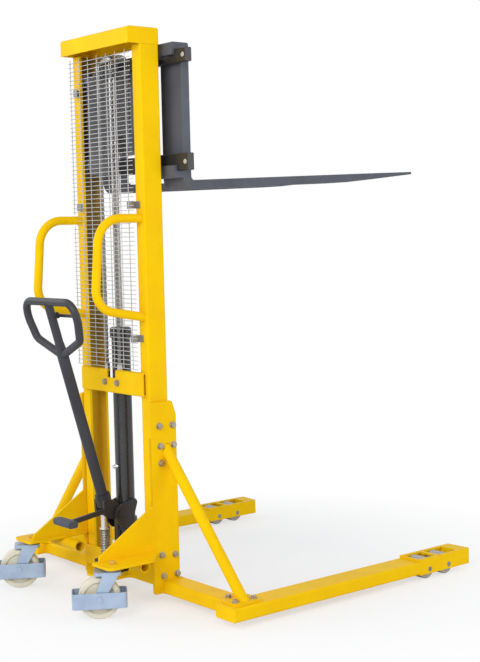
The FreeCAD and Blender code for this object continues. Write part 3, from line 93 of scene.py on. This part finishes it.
def aim_camera():
    data = bpy.data.cameras.new("camera")
    camera = bpy.data.objects.new("camera", data)
    bpy.context.scene.collection.objects.link(camera)
    forward = Vector((math.cos(camera_pitch) * math.cos(camera_yaw),
                      math.cos(camera_pitch) * math.sin(camera_yaw), -math.sin(camera_pitch)))
    right = forward.cross(Vector((0, 0, 1))).normalized()
    up = right.cross(forward)
    right, up = (math.cos(camera_roll) * right + math.sin(camera_roll) * up,
                 math.cos(camera_roll) * up - math.sin(camera_roll) * right)
    turn = Matrix((right, up, -forward)).transposed().to_4x4()
    camera.matrix_world = Matrix.Translation(camera_from_mast + Vector((datum_x, 0, 0))) @ turn
    data.sensor_fit = "VERTICAL"
    data.sensor_height = sensor_height_mm
    data.lens = focal_pixels * sensor_height_mm / image_height_pixels
    data.dof.use_dof = False
    data.clip_end = camera_clip_end
    bpy.context.scene.camera = camera


# Materials. A span is the two texture values between which an effect grows
cloud_noise = {"Detail": 5.0, "Roughness": 0.6}
grain_noise = {"Detail": 3.0, "Roughness": 0.55}
scuff_noise = {"Scale": 60.0, "Detail": 6.0, "Roughness": 0.7}
streak_noise = {"Scale": 14.0, "Detail": 5.0, "Roughness": 0.65}
cloud_span = (0.35, 0.7)
edge_span = (0.96, 0.75)
scuff_span = (0.48, 0.66)
roughness_span = (0.3, 0.75)
hollow_span = (0.45, 0.1)
patch_span = (0.3, 0.6)
roughness_fall = 0.05
roughness_rise = 0.09
coat_roughness = 0.12
edge_size = 0.0022
edge_samples = 4
# Painted shade in corners: how far ambient occlusion looks, its samples, the most darkening, the least in
# the patches
corner_shade_reach = 0.012
corner_shade_samples = 6
corner_shade_most = 0.7
corner_shade_least_patch = 0.5
box_least_patch = 0.75
# Colour of the painted shade in the corners of the yellow paint
yellow_corner_shade = (0.20, 0.095, 0.004)
finishes = {}


def node_of(tree, kind, **values):
    """A node with its inputs and settings given by name."""
    node = tree.nodes.new(kind)
    for name, value in values.items():
        if name in node.inputs:
            node.inputs[name].default_value = value
        else:
            setattr(node, name, value)
    return node


def mixed(tree, factor, first, second):
    """A mix of two colours, each a colour or a socket."""
    mix = tree.nodes.new("ShaderNodeMix")
    mix.data_type = "RGBA"
    tree.links.new(factor, mix.inputs[0])
    for socket, value in ((mix.inputs[6], first), (mix.inputs[7], second)):
        if isinstance(value, tuple):
            socket.default_value = value + (1,)
        else:
            tree.links.new(value, socket)
    return mix.outputs[2]


def ranged(tree, value, span, to_low, to_high):
    """A value that goes from to_low to to_high over a span."""
    node = tree.nodes.new("ShaderNodeMapRange")
    tree.links.new(value, node.inputs[0])
    for socket, number in zip(node.inputs[1:5], (*span, to_low, to_high)):
        socket.default_value = number
    return node.outputs[0]


def maths(tree, operation, *values, clamp=False):
    """A sum on sockets and numbers."""
    node = tree.nodes.new("ShaderNodeMath")
    node.operation = operation
    node.use_clamp = clamp
    for socket, value in zip(node.inputs, values):
        if isinstance(value, float):
            socket.default_value = value
        else:
            tree.links.new(value, socket)
    return node.outputs[0]


def finish_of(name, colour, shade, edge, rough, metal=0.0, coat=0.0, gloss=0.5, sheen=(1, 1, 1),
              grain=900.0, blotch=6.0, bump=0.00002, stretch=(1, 1, 1), edge_amount=0.6, corner_shade=None):
    """A surface with cloudy colour, fine grain, uneven roughness, worn edges and painted shade in its
    corners.
    """
    material = bpy.data.materials.new(name)
    material.use_nodes = True
    tree = material.node_tree
    shader = tree.nodes["Principled BSDF"]
    place = tree.nodes.new("ShaderNodeTexCoord")
    mapping = node_of(tree, "ShaderNodeMapping", Scale=stretch)
    tree.links.new(place.outputs["Object"], mapping.inputs["Vector"])
    clouds = node_of(tree, "ShaderNodeTexNoise", Scale=blotch, **cloud_noise)
    fine = node_of(tree, "ShaderNodeTexNoise", Scale=grain, **grain_noise)
    scuffs = node_of(tree, "ShaderNodeTexNoise", **scuff_noise)
    for texture in (clouds, fine, scuffs):
        tree.links.new(mapping.outputs["Vector"], texture.inputs["Vector"])
    cloudy = ranged(tree, clouds.outputs["Fac"], cloud_span, 0.0, 1.0)
    base = mixed(tree, cloudy, colour, shade)

    rounded = node_of(tree, "ShaderNodeBevel", samples=edge_samples, Radius=edge_size)
    geometry = tree.nodes.new("ShaderNodeNewGeometry")
    agree = node_of(tree, "ShaderNodeVectorMath", operation="DOT_PRODUCT")
    tree.links.new(rounded.outputs["Normal"], agree.inputs[0])
    tree.links.new(geometry.outputs["Normal"], agree.inputs[1])
    at_edge = ranged(tree, agree.outputs["Value"], edge_span, 0.0, 1.0)
    rubbed = ranged(tree, scuffs.outputs["Fac"], scuff_span, 0.0, edge_amount)
    base = mixed(tree, maths(tree, "MULTIPLY", at_edge, rubbed), base, edge)
    # Painted shade: the colour darkens where ambient occlusion finds nearby surfaces, broken into patches
    if corner_shade:
        hollow = node_of(tree, "ShaderNodeAmbientOcclusion", samples=corner_shade_samples, Distance=corner_shade_reach)
        shade_amount = ranged(tree, hollow.outputs["AO"], hollow_span, 0.0, corner_shade_most)
        patchy = ranged(tree, scuffs.outputs["Fac"], patch_span, corner_shade_least_patch, 1.0)
        base = mixed(tree, maths(tree, "MULTIPLY", shade_amount, patchy), base, corner_shade)
    tree.links.new(base, shader.inputs["Base Color"])

    roughness = ranged(tree, scuffs.outputs["Fac"], roughness_span,
                       rough - roughness_fall, rough + roughness_rise)
    tree.links.new(roughness, shader.inputs["Roughness"])
    relief = node_of(tree, "ShaderNodeBump", Strength=1.0, Distance=bump)
    tree.links.new(fine.outputs["Fac"], relief.inputs["Height"])
    tree.links.new(rounded.outputs["Normal"], relief.inputs["Normal"])
    tree.links.new(relief.outputs["Normal"], shader.inputs["Normal"])
    shader.inputs["Metallic"].default_value = metal
    shader.inputs["Specular IOR Level"].default_value = gloss
    shader.inputs["Specular Tint"].default_value = sheen + (1,)
    shader.inputs["Coat Weight"].default_value = coat
    shader.inputs["Coat Roughness"].default_value = coat_roughness
    finishes[name] = material
    return material


# Yellow paint, with painted shade in its corners
def yellow_paint(name):
    return finish_of(name, (0.955, 0.60, 0.004), (0.90, 0.53, 0.006), (0.98, 0.72, 0.10), 0.40,
                     gloss=0.06, sheen=(1.0, 0.72, 0.10), grain=260.0, bump=0.00006,
                     edge_amount=0.5, corner_shade=yellow_corner_shade)


# Finishes: colour, colour of the clouds, colour of the worn edges, roughness
yellow_paint("yellow_paint")
finish_of("fork_grey_paint", (0.122, 0.127, 0.150), (0.092, 0.095, 0.112), (0.30, 0.31, 0.33), 0.46,
          gloss=0.12, grain=320.0, bump=0.00007)
finish_of("carriage_grey_paint", (0.24, 0.24, 0.255), (0.19, 0.19, 0.20), (0.34, 0.34, 0.35), 0.50,
          gloss=0.2, grain=320.0, bump=0.00007)
finish_of("dark_paint", (0.030, 0.030, 0.034), (0.018, 0.018, 0.020), (0.16, 0.16, 0.17), 0.38,
          grain=320.0, bump=0.00008)
finish_of("barrel_paint", (0.026, 0.026, 0.029), (0.017, 0.017, 0.019), (0.12, 0.12, 0.13), 0.24,
          coat=0.35, grain=320.0)
finish_of("tiller_paint", (0.043, 0.043, 0.053), (0.030, 0.030, 0.037), (0.16, 0.16, 0.18), 0.42,
          gloss=0.35, grain=420.0, bump=0.00007)
finish_of("mesh_zinc", (0.60, 0.60, 0.60), (0.48, 0.48, 0.48), (0.70, 0.70, 0.70), 0.38,
          metal=0.25, grain=700.0)
finish_of("clip_zinc", (0.30, 0.29, 0.27), (0.22, 0.21, 0.20), (0.48, 0.47, 0.45), 0.42,
          metal=0.4, grain=700.0)
finish_of("pedal_plastic", (0.062, 0.075, 0.100), (0.042, 0.050, 0.068), (0.16, 0.18, 0.21), 0.55,
          grain=800.0, bump=0.00010)
finish_of("bright_steel", (0.78, 0.78, 0.77), (0.68, 0.68, 0.67), (0.86, 0.86, 0.85), 0.26,
          metal=1.0, grain=500.0, stretch=(1, 1, 8))
finish_of("roller_steel", (0.32, 0.32, 0.31), (0.22, 0.22, 0.21), (0.55, 0.55, 0.54), 0.36,
          metal=1.0, grain=600.0)
finish_of("bolt_steel", (0.46, 0.42, 0.34), (0.32, 0.29, 0.24), (0.62, 0.60, 0.54), 0.34, metal=0.85)
finish_of("chain_steel", (0.36, 0.355, 0.35), (0.22, 0.215, 0.21), (0.55, 0.545, 0.54), 0.34, metal=0.8)
finish_of("caster_zinc", (0.45, 0.56, 0.72), (0.36, 0.45, 0.60), (0.62, 0.70, 0.80), 0.34,
          metal=0.45, grain=500.0, blotch=18.0)
finish_of("ivory_nylon", (0.80, 0.75, 0.60), (0.72, 0.66, 0.50), (0.86, 0.82, 0.70), 0.42,
          grain=500.0, blotch=14.0)
# Load roller nylon: grey, its tone set darker than the caster nylon partly as painted shade on the rollers'
# undersides
finish_of("roller_nylon", (0.46, 0.44, 0.42), (0.36, 0.345, 0.33), (0.58, 0.56, 0.54), 0.46,
          grain=500.0, blotch=14.0)
# Yellow paint of the mast channels, which gets grease and painted shade inside
shaded_track_paint = yellow_paint("shaded_track_paint")
# Yellow paint of the side posts, which gets a painted shadow line along the joint
shaded_post_paint = yellow_paint("shaded_post_paint")

# Each CAD node gets the finish of its slot, or a finish of its own
finish_of_node = {entry["node"]: entry["material_slot"] for entry in frame["record"]["subparts"]}
finish_of_node.update({
    "guard_clips": "clip_zinc", "load_roller_axles": "roller_steel",
    "cylinder_barrel": "barrel_paint", "cylinder_gland": "barrel_paint",
    "carriage_plate": "carriage_grey_paint", "carriage_sides": "carriage_grey_paint",
    "mast_channel_left": "shaded_track_paint", "mast_channel_right": "shaded_track_paint",
    "side_post_left": "shaded_post_paint", "side_post_right": "shaded_post_paint"})
for name, piece in nodes.items():
    if name.startswith(("load_roller_front", "load_roller_rear")):
        finish_of_node[name] = "roller_nylon"
    piece.data.materials.clear()
    piece.data.materials.append(finishes[finish_of_node[name]])


# Used for real paint, for grease and for painted shade
def paint_dirt_and_shade_in_box(material, low, high, colour, span, least, most):
    """Another colour on the surfaces inside a box, from least to most of it over a span of heights."""
    tree = material.node_tree
    shader = tree.nodes["Principled BSDF"]
    base = shader.inputs["Base Color"].links[0].from_socket
    place = tree.nodes.new("ShaderNodeTexCoord")
    parts = tree.nodes.new("ShaderNodeSeparateXYZ")
    tree.links.new(place.outputs["Object"], parts.inputs[0])
    amount = ranged(tree, parts.outputs["Z"], span, least, most)
    for axis, name in enumerate("XYZ"):
        offset = maths(tree, "SUBTRACT", parts.outputs[name], (low[axis] + high[axis]) / 2)
        reach = maths(tree, "ABSOLUTE", offset)
        inside = maths(tree, "LESS_THAN", reach, (high[axis] - low[axis]) / 2)
        amount = maths(tree, "MULTIPLY", amount, inside)
    streaks = node_of(tree, "ShaderNodeTexNoise", **streak_noise)
    tree.links.new(place.outputs["Object"], streaks.inputs["Vector"])
    patchy = ranged(tree, streaks.outputs["Fac"], patch_span, box_least_patch, 1.0)
    amount = maths(tree, "MULTIPLY", amount, patchy)
    tree.links.new(mixed(tree, amount, base, colour), shader.inputs["Base Color"])


# The kingpin nuts on top of the caster brackets got a coat of the frame's paint
gusset_height = 0.164
bracket_top_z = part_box("caster_bracket_left")[1][2] - gusset_height
nut_clearance = 0.0005
nut_paint = (0.80, 0.48, 0.004)
nut_cover = 0.92
paint_dirt_and_shade_in_box(finishes["caster_zinc"],
     Vector((start_bounds[0][0], start_bounds[0][1], bracket_top_z + nut_clearance)),
     Vector(start_bounds[1]), nut_paint, (0.0, 1.0), nut_cover, nut_cover)

# Roller tracks inside the mast channels: paint below, and a darker colour growing upwards where the rollers
# run, partly grease on the steel and partly painted shade
track_low = Vector(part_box("mast_channel_right")[0])
track_high = Vector(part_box("mast_channel_left")[1])
channel_wall = 0.010
track_margin = channel_wall - 0.001
track_inset = Vector((track_margin, track_margin, 0))
track_grease_and_shade = (0.115, 0.092, 0.068)
track_span = (0.70, 1.00)
track_least, track_most = 0.30, 0.88
paint_dirt_and_shade_in_box(shaded_track_paint, track_low + track_inset, track_high - track_inset, track_grease_and_shade, track_span,
     track_least, track_most)

# The rear edge of each side post, along its open joint with the channel, gets a painted shadow line between
# the welds
joint_low_z = 0.22
joint_high_z = 0.605
joint_rise = 0.08
joint_margin = 0.001
joint_shade = (0.16, 0.075, 0.004)
joint_least, joint_most = 0.12, 0.27
for name in ("side_post_left", "side_post_right"):
    post_low, post_high = map(Vector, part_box(name))
    paint_dirt_and_shade_in_box(shaded_post_paint, Vector((post_low.x - joint_margin, post_low.y - joint_margin, joint_low_z)),
         Vector((post_low.x + joint_margin, post_high.y + joint_margin, joint_high_z)),
         joint_shade, (joint_low_z, joint_low_z + joint_rise), joint_least, joint_most)

# Building blocks for the pieces
sharp_angle = math.radians(40)
wire_end_share = 0.6


def piece_from(mesh_maker, name, slot, body):
    """A piece that a function makes, with the finish of a slot, on a body if one is named."""
    mesh = bpy.data.meshes.new(name)
    maker = bmesh.new()
    mesh_maker(maker)
    bmesh.ops.recalc_face_normals(maker, faces=maker.faces)
    maker.to_mesh(mesh)
    maker.free()
    mesh.shade_smooth()
    mesh.set_sharp_from_angle(angle=sharp_angle)
    mesh.materials.append(finishes[slot])
    piece = bpy.data.objects.new(name, mesh)
    bpy.context.scene.collection.objects.link(piece)
    if body:
        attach(piece, body)
    return piece


def ring_of(maker, centre, side, other, radius, sides):
    """Vertices in a circle."""
    angles = [2 * math.pi * i / sides for i in range(sides)]
    return [maker.verts.new(centre + radius * (math.cos(angle) * side + math.sin(angle) * other))
            for angle in angles]


def skin(maker, rings):
    """Faces from each ring of vertices to the next, and over both ends."""
    count = len(rings[0])
    for first, second in zip(rings, rings[1:]):
        for i in range(count):
            following = (i + 1) % count
            maker.faces.new((first[i], first[following], second[following], second[i]))
    maker.faces.new(rings[0][::-1])
    maker.faces.new(rings[-1])


def add_round(maker, start, end, inset, end_radius, radius, sides):
    """A round bar from start to end, narrowed over an inset to a smaller radius at both ends."""
    length = (end - start).length
    side, other, along = (end - start).to_track_quat("Z", "Y").to_matrix().col
    profile = ((0, end_radius), (inset, radius), (length - inset, radius), (length, end_radius))
    skin(maker, [ring_of(maker, start + along * place, side, other, size, sides)
                 for place, size in profile])


def add_wire(maker, start, end, radius, sides):
    """A straight wire with slightly rounded ends."""
    add_round(maker, start, end, radius / 2, radius * wire_end_share, radius, sides)


def add_tube(maker, points, radii, sides):
    """A tube along points, with a radius at each, its sections turned with the least twist."""
    rings = []
    side = None
    last = len(points) - 1
    for i, (point, radius) in enumerate(zip(points, radii)):
        heading = (points[min(i + 1, last)] - points[max(i - 1, 0)]).normalized()
        if side is None:
            side = heading.orthogonal().normalized()
        side = (side - heading * side.dot(heading)).normalized()
        rings.append(ring_of(maker, point, side, heading.cross(side), radius, sides))
    skin(maker, rings)


# Mesh guard: close-set horizontal wires welded to upright wires, trimmed round the grab handles
mesh_low, mesh_high = map(Vector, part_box("mesh_guard"))
mesh_mid_x = (mesh_low.x + mesh_high.x) / 2
wire_pitch = 0.016
wire_sides = 6
wire_offset_share = 0.8
level_wire_radius = 0.0014
upright_wire_radius = 0.0017
upright_places = (-0.169, -0.108, -0.047, 0.014, 0.075, 0.136, 0.197)
handle_room = 0.021
handle_reach = 0.180
grab_low, grab_high = map(Vector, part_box("grab_handle_left"))
tube_radius = (grab_high.y - grab_low.y) / 2
low_arm_rise_at_mesh = 0.006
low_arm_rise = 0.041
grab_arm_heights = (grab_high.z - tube_radius, grab_low.z + tube_radius + low_arm_rise_at_mesh)


def near_handle(height):
    return any(abs(height - arm) < handle_room for arm in grab_arm_heights)


def level_wires(maker):
    x = mesh_mid_x - level_wire_radius * wire_offset_share
    count = int((mesh_high.z - mesh_low.z - 2 * level_wire_radius) / wire_pitch)
    for i in range(count + 1):
        height = mesh_low.z + level_wire_radius + i * wire_pitch
        reach = handle_reach if near_handle(height) else mesh_high.y
        add_wire(maker, Vector((x, -reach, height)), Vector((x, reach, height)),
                 level_wire_radius, wire_sides)


def upright_wires(maker):
    x = mesh_mid_x + upright_wire_radius * wire_offset_share
    for y in upright_places:
        cuts = [mesh_low.z]
        if abs(y) > handle_reach:
            for arm in sorted(grab_arm_heights):
                cuts += [arm - handle_room, arm + handle_room]
        cuts.append(mesh_high.z)
        for low, high in zip(cuts[0::2], cuts[1::2]):
            add_wire(maker, Vector((x, y, low)), Vector((x, y, high)), upright_wire_radius, wire_sides)


def guard_wires(maker):
    level_wires(maker)
    upright_wires(maker)


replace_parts(piece_from(guard_wires, "guard_wires", "mesh_zinc", "frame"), "mesh_guard")

# Lift chains: leaf links on pins
chain_pitch = 0.015875
chain_half_width = 0.006
leaf_thickness = 0.0018
leaf_spacing = leaf_thickness * 1.25
leaf_count = 5
leaf_half_height = 0.0044
leaf_waist = 0.0031
leaf_end_degrees = (-80, -40, 0, 40, 80)
pin_radius = 0.0022
pin_sides = 8
pin_stub = 0.0006


def add_leaf(maker, first, second, across, offset):
    """One link plate between two pins, waisted in the middle."""
    along = (second - first).normalized()
    out = along.cross(across).normalized()
    middle = (first + second) / 2
    outline = []
    for end, way in ((second, 1), (first, -1)):
        for degrees in leaf_end_degrees:
            angle = math.radians(degrees)
            outward = way * (math.cos(angle) * along + math.sin(angle) * out)
            outline.append(end + outward * leaf_half_height)
        outline.append(middle + way * out * leaf_waist)
    lift = across * leaf_thickness / 2
    skin(maker, [[maker.verts.new(point + across * offset + face * lift) for point in outline]
                 for face in (-1, 1)])


def add_chain(maker, pins, mid_y):
    """A strand over pins: leaves of one link between those of the next."""
    across = Vector((0, 1, 0))
    half_pin = across * (leaf_count * leaf_spacing / 2 + pin_stub)
    centres = [Vector((pin.x, mid_y, pin.z)) for pin in pins]
    for i, centre in enumerate(centres):
        add_wire(maker, centre - half_pin, centre + half_pin, pin_radius, pin_sides)
        if i == len(centres) - 1:
            continue
        for leaf in range(i % 2, leaf_count, 2):
            offset = (leaf - (leaf_count - 1) / 2) * leaf_spacing
            add_leaf(maker, centre, centres[i + 1], across, offset)


def strand_pins(low, high):
    links = round((high.z - low.z) / chain_pitch)
    x = (low.x + high.x) / 2
    return [Vector((x, 0, low.z + (high.z - low.z) * i / links)) for i in range(links + 1)]


def both_sides(pins):
    def make(maker):
        for side in (-1, 1):
            add_chain(maker, pins, side * chain_y)
    return make


chain_low, chain_high = map(Vector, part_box("rear_chains"))
front_low, front_high = map(Vector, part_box("front_chains"))
chain_y = chain_high.y - chain_half_width
pulley_low, pulley_high = map(Vector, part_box("chain_pulleys"))
pulley_centre = (pulley_low + pulley_high) / 2
pitch_radius = ((front_low.x + front_high.x) - (chain_low.x + chain_high.x)) / 4
wrap_links = round(math.pi * pitch_radius / chain_pitch)
wrap_angles = [math.pi * i / wrap_links for i in range(wrap_links + 1)]
wrap_pins = [Vector((pulley_centre.x - pitch_radius * math.cos(angle), 0,
                     pulley_centre.z + pitch_radius * math.sin(angle))) for angle in wrap_angles]

rear_chain = piece_from(both_sides(strand_pins(chain_low, chain_high)), "rear_chain_links",
                        "chain_steel", "frame")
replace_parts(rear_chain, "rear_chains")
front_chain = piece_from(both_sides(strand_pins(front_low, front_high)), "front_chain_links",
                         "chain_steel", None)
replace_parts(front_chain, "front_chains")
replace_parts(piece_from(both_sides(wrap_pins), "pulley_chain_links", "chain_steel", "lift"), "chain_wraps")
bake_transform(front_chain)
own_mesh(rear_chain)

# Return spring of the pump, closed at its ends. Rises and room are in wire radii
spring_low, spring_high = map(Vector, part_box("pump_spring"))
spring_centre = (spring_low + spring_high) / 2
spring_wire = 0.0021
spring_radius = (spring_high.x - spring_low.x) / 2 - spring_wire
spring_turns = 12
spring_steps = 24
spring_sides = 8
closed_turns = 0.7
first_turn_rise = 0.9
last_turn_rise = 1.8
closed_ends_room = 5.6


def spring_coils(maker):
    open_height = spring_high.z - spring_low.z - spring_wire * closed_ends_room
    points = []
    for i in range(spring_steps * spring_turns + 1):
        turn = i / spring_steps
        rise = min(max((turn - closed_turns) / (spring_turns - 2 * closed_turns), 0), 1)
        first_turn = min(turn, 1)
        last_turn = max(0, min(turn - spring_turns + 1, 1))
        height = (spring_low.z + spring_wire * (1 + first_turn * first_turn_rise) + rise * open_height
                  + spring_wire * last_turn_rise * last_turn)
        angle = 2 * math.pi * turn
        points.append(Vector((spring_centre.x + spring_radius * math.cos(angle),
                              spring_radius * math.sin(angle), height)))
    add_tube(maker, points, [spring_wire] * len(points), spring_sides)


spring = piece_from(spring_coils, "return_spring", "roller_steel", "frame")
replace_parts(spring, "pump_spring")
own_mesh(spring)

# Weld beads along the joints of the frame and the carriage
bead_radius = 0.0026
thin_bead_radius = bead_radius * 0.6
bead_step = 0.0024
bead_sides = 6
bead_mean = 0.84
bead_ripple = 0.16
bead_ripple_turn = 2.1
bead_scatter = 0.05
seam_ring_steps = 40
corner_cut = 0.005
gusset_thickness = 0.010
gusset_tail_inset = 0.026
bracket_neck = 0.047
brace_radius = 0.020
brace_top = Vector((datum_x + 0.064, 0.225, 0.565))
brace_foot = Vector((datum_x + 0.070, 0.673, 0.056))
foot_top_z = 0.081
housing_back_x = datum_x + 0.893
plate_thickness = 0.012


def add_bead(maker, corners, radius, closed):
    """A rippled weld bead along straight runs between corners."""
    if closed:
        corners = corners + corners[:1]
    points = []
    for start, end in zip(corners, corners[1:]):
        count = max(1, round((end - start).length / bead_step))
        points += [start.lerp(end, i / count) for i in range(count)]
    points.append(corners[-1])
    radii = [radius * (bead_mean + bead_ripple * math.cos(bead_ripple_turn * i)
                       + random.uniform(-bead_scatter, bead_scatter)) for i in range(len(points))]
    add_tube(maker, points, radii, bead_sides)


def run(*corners):
    return [Vector(corner) for corner in corners]


def ring_on_plane(start, end, radius, axis, level):
    """Where a round tube from start to end meets the plane at a level of an axis."""
    along = (end - start).normalized()
    first = along.orthogonal().normalized()
    second = along.cross(first)
    ring = []
    for i in range(seam_ring_steps):
        angle = 2 * math.pi * i / seam_ring_steps
        point = start + radius * (math.cos(angle) * first + math.sin(angle) * second)
        ring.append(point + along * (level - point[axis]) / along[axis])
    return ring


def tube_seam(low, high, y):
    """The outline of a square tube's end, its corners cut."""
    x0, x1, z0, z1, cut = low.x, high.x, low.z, high.z, corner_cut
    return run((x0 + cut, y, z0), (x1 - cut, y, z0), (x1, y, z0 + cut), (x1, y, z1 - cut),
               (x1 - cut, y, z1), (x0 + cut, y, z1), (x0, y, z1 - cut), (x0, y, z0 + cut))


def frame_seams():
    """Seams on the left side of the frame: corners, bead radius, closed or not."""
    post_low, post_high = map(Vector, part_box("side_post_left"))
    beam_low, beam_high = map(Vector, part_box("cross_beam_left"))
    top_low = Vector(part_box("top_beam")[0])
    member_low, member_high = map(Vector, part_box("crossmember"))
    bracket_low, bracket_high = map(Vector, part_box("caster_bracket_left"))
    leg_low, leg_high = map(Vector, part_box("straddle_leg_left"))
    channel_low, channel_high = map(Vector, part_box("mast_channel_left"))
    bracket_top = bracket_high.z - gusset_height
    gusset_inner = channel_high.y
    gusset_outer = gusset_inner + gusset_thickness
    gusset_tail = bracket_low.x + gusset_tail_inset
    grab_y = (grab_low.y + grab_high.y) / 2
    low_arm = Vector((grab_low.x, grab_y, grab_low.z + tube_radius + low_arm_rise))
    low_root = Vector((channel_low.x, grab_y, grab_low.z + tube_radius))
    top_arm = Vector((grab_low.x, grab_y, grab_high.z - tube_radius))
    top_root = Vector((channel_low.x, grab_y, grab_high.z - tube_radius))
    return [
        (tube_seam(beam_low, beam_high, post_high.y), bead_radius, True),
        (tube_seam(beam_low, beam_high, leg_low.y), bead_radius, True),
        (run((channel_low.x, member_high.y, member_low.z),
             (channel_low.x, member_high.y, member_high.z)), bead_radius, False),
        (run((channel_low.x + corner_cut, channel_high.y, top_low.z),
             (channel_high.x - corner_cut, channel_high.y, top_low.z)), thin_bead_radius, False),
        (run((post_low.x, gusset_outer, bracket_top),
             (post_low.x, bracket_low.y + bracket_neck, bracket_top)), bead_radius, False),
        (run((post_low.x, gusset_outer, bracket_top),
             (post_low.x, gusset_outer, bracket_high.z)), bead_radius, False),
        (run((gusset_tail, gusset_outer, bracket_top),
             (post_low.x, gusset_outer, bracket_top)), bead_radius, False),
        (run((gusset_tail, gusset_inner, bracket_top),
             (post_low.x, gusset_inner, bracket_top)), bead_radius, False),
        (ring_on_plane(brace_top, brace_foot, brace_radius, 1, post_high.y), bead_radius, True),
        (ring_on_plane(brace_top, brace_foot, brace_radius, 2, foot_top_z), bead_radius, True),
        (ring_on_plane(top_arm, top_root, tube_radius, 0, channel_low.x), bead_radius, True),
        (ring_on_plane(low_arm, low_root, tube_radius, 0, channel_low.x), bead_radius, True),
        (run((housing_back_x, leg_low.y + 2 * corner_cut, beam_high.z),
             (housing_back_x, leg_high.y - 2 * corner_cut, beam_high.z)), bead_radius, False),
    ]


def frame_beads(maker):
    for corners, radius, closed in frame_seams():
        add_bead(maker, corners, radius, closed)
        mirrored = run(*((corner.x, -corner.y, corner.z) for corner in corners))
        add_bead(maker, mirrored, radius, closed)


def carriage_beads(maker):
    low, high = map(Vector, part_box("carriage_plate"))
    seam_x = high.x - plate_thickness
    for y in (low.y, high.y):
        add_bead(maker, run((seam_x, y, low.z), (seam_x, y, high.z)), bead_radius, False)


piece_from(frame_beads, "frame_welds", "yellow_paint", "frame")
carriage_welds = piece_from(carriage_beads, "carriage_welds", "dark_paint", "carriage")
carriage_welds.data.materials[0] = finishes["carriage_grey_paint"]

# Plated stop pins in the ends of the fork bars
stop_pin_radius = 0.0098
stop_pin_chamfer = 0.0018
stop_pin_recess = 0.0005
stop_pin_inset = 0.019
stop_pin_sides = 24


def stop_pins(maker):
    for bar in ("upper_fork_bar", "lower_fork_bar"):
        low, high = map(Vector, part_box(bar))
        height = (low.z + high.z) / 2
        for y in (low.y + stop_pin_inset, high.y - stop_pin_inset):
            add_round(maker, Vector((low.x + stop_pin_recess, y, height)),
                      Vector((high.x - stop_pin_recess, y, height)), stop_pin_chamfer,
                      stop_pin_radius - stop_pin_chamfer, stop_pin_radius, stop_pin_sides)


piece_from(stop_pins, "bar_stop_pins", "mesh_zinc", "carriage")

# Floor, light and background
floor_half = 14.0
floor_noise = {"Scale": 3.0, "Detail": 4.0}
floor_tones = ((0.90, 0.90, 0.90), (0.93, 0.93, 0.93))
floor_roughness = 0.85
floor_fade = (0.5, 1.5)
floor_least_white = 0.5
world_light = (0.52, 0.54, 0.57)
seen_white = (1.0, 1.0, 1.0)
lamp_target = Vector((datum_x + 0.1, 0, 1.0))


def lay_floor():
    """A pale floor that keeps the shadow and runs out into the white background."""
    material = bpy.data.materials.new("floor")
    material.use_nodes = True
    tree = material.node_tree
    shader = tree.nodes["Principled BSDF"]
    speckle = node_of(tree, "ShaderNodeTexNoise", **floor_noise)
    tree.links.new(mixed(tree, speckle.outputs["Fac"], *floor_tones), shader.inputs["Base Color"])
    shader.inputs["Roughness"].default_value = floor_roughness
    white = tree.nodes.new("ShaderNodeEmission")
    place = tree.nodes.new("ShaderNodeTexCoord")
    reach = node_of(tree, "ShaderNodeVectorMath", operation="LENGTH")
    tree.links.new(place.outputs["Object"], reach.inputs[0])
    fade = ranged(tree, reach.outputs["Value"], floor_fade, floor_least_white, 1.0)
    path = tree.nodes.new("ShaderNodeLightPath")
    blend = tree.nodes.new("ShaderNodeMixShader")
    tree.links.new(maths(tree, "MULTIPLY", fade, path.outputs["Is Camera Ray"]), blend.inputs[0])
    tree.links.new(shader.outputs[0], blend.inputs[1])
    tree.links.new(white.outputs[0], blend.inputs[2])
    tree.links.new(blend.outputs[0], tree.nodes["Material Output"].inputs["Surface"])
    mesh = bpy.data.meshes.new("floor")
    half = floor_half
    mesh.from_pydata([(-half, -half, 0), (half, -half, 0), (half, half, 0), (-half, half, 0)],
                     [], [(0, 1, 2, 3)])
    mesh.materials.append(material)
    floor = bpy.data.objects.new("floor", mesh)
    bpy.context.scene.collection.objects.link(floor)


def hang_light(name, place, size, power):
    """A square lamp, placed from the datum and aimed at the middle of the truck."""
    data = bpy.data.lights.new(name, "AREA")
    data.shape = "SQUARE"
    data.size = size
    data.energy = power
    light = bpy.data.objects.new(name, data)
    light.location = Vector(place) + Vector((datum_x, 0, 0))
    light.rotation_euler = (lamp_target - light.location).to_track_quat("-Z", "Y").to_euler()
    bpy.context.scene.collection.objects.link(light)


def set_background():
    """White where it is seen or mirrored, and a softer light on the object."""
    world = bpy.data.worlds.new("studio")
    bpy.context.scene.world = world
    world.use_nodes = True
    tree = world.node_tree
    path = tree.nodes.new("ShaderNodeLightPath")
    seen = maths(tree, "ADD", path.outputs["Is Camera Ray"], path.outputs["Is Glossy Ray"])
    seen = maths(tree, "ADD", seen, path.outputs["Is Transmission Ray"], clamp=True)
    background = tree.nodes["Background"]
    tree.links.new(mixed(tree, seen, world_light, seen_white), background.inputs["Color"])
    background.inputs["Strength"].default_value = 1.0


lay_floor()
hang_light("key", (-4.0, -2.4, 3.2), 2.8, 136)
hang_light("side", (2.8, -4.2, 2.2), 3.0, 48)
hang_light("back", (-2.5, 3.6, 3.2), 3.0, 48)
set_background()
aim_camera()
bpy.context.scene.view_settings.view_transform = "Standard"
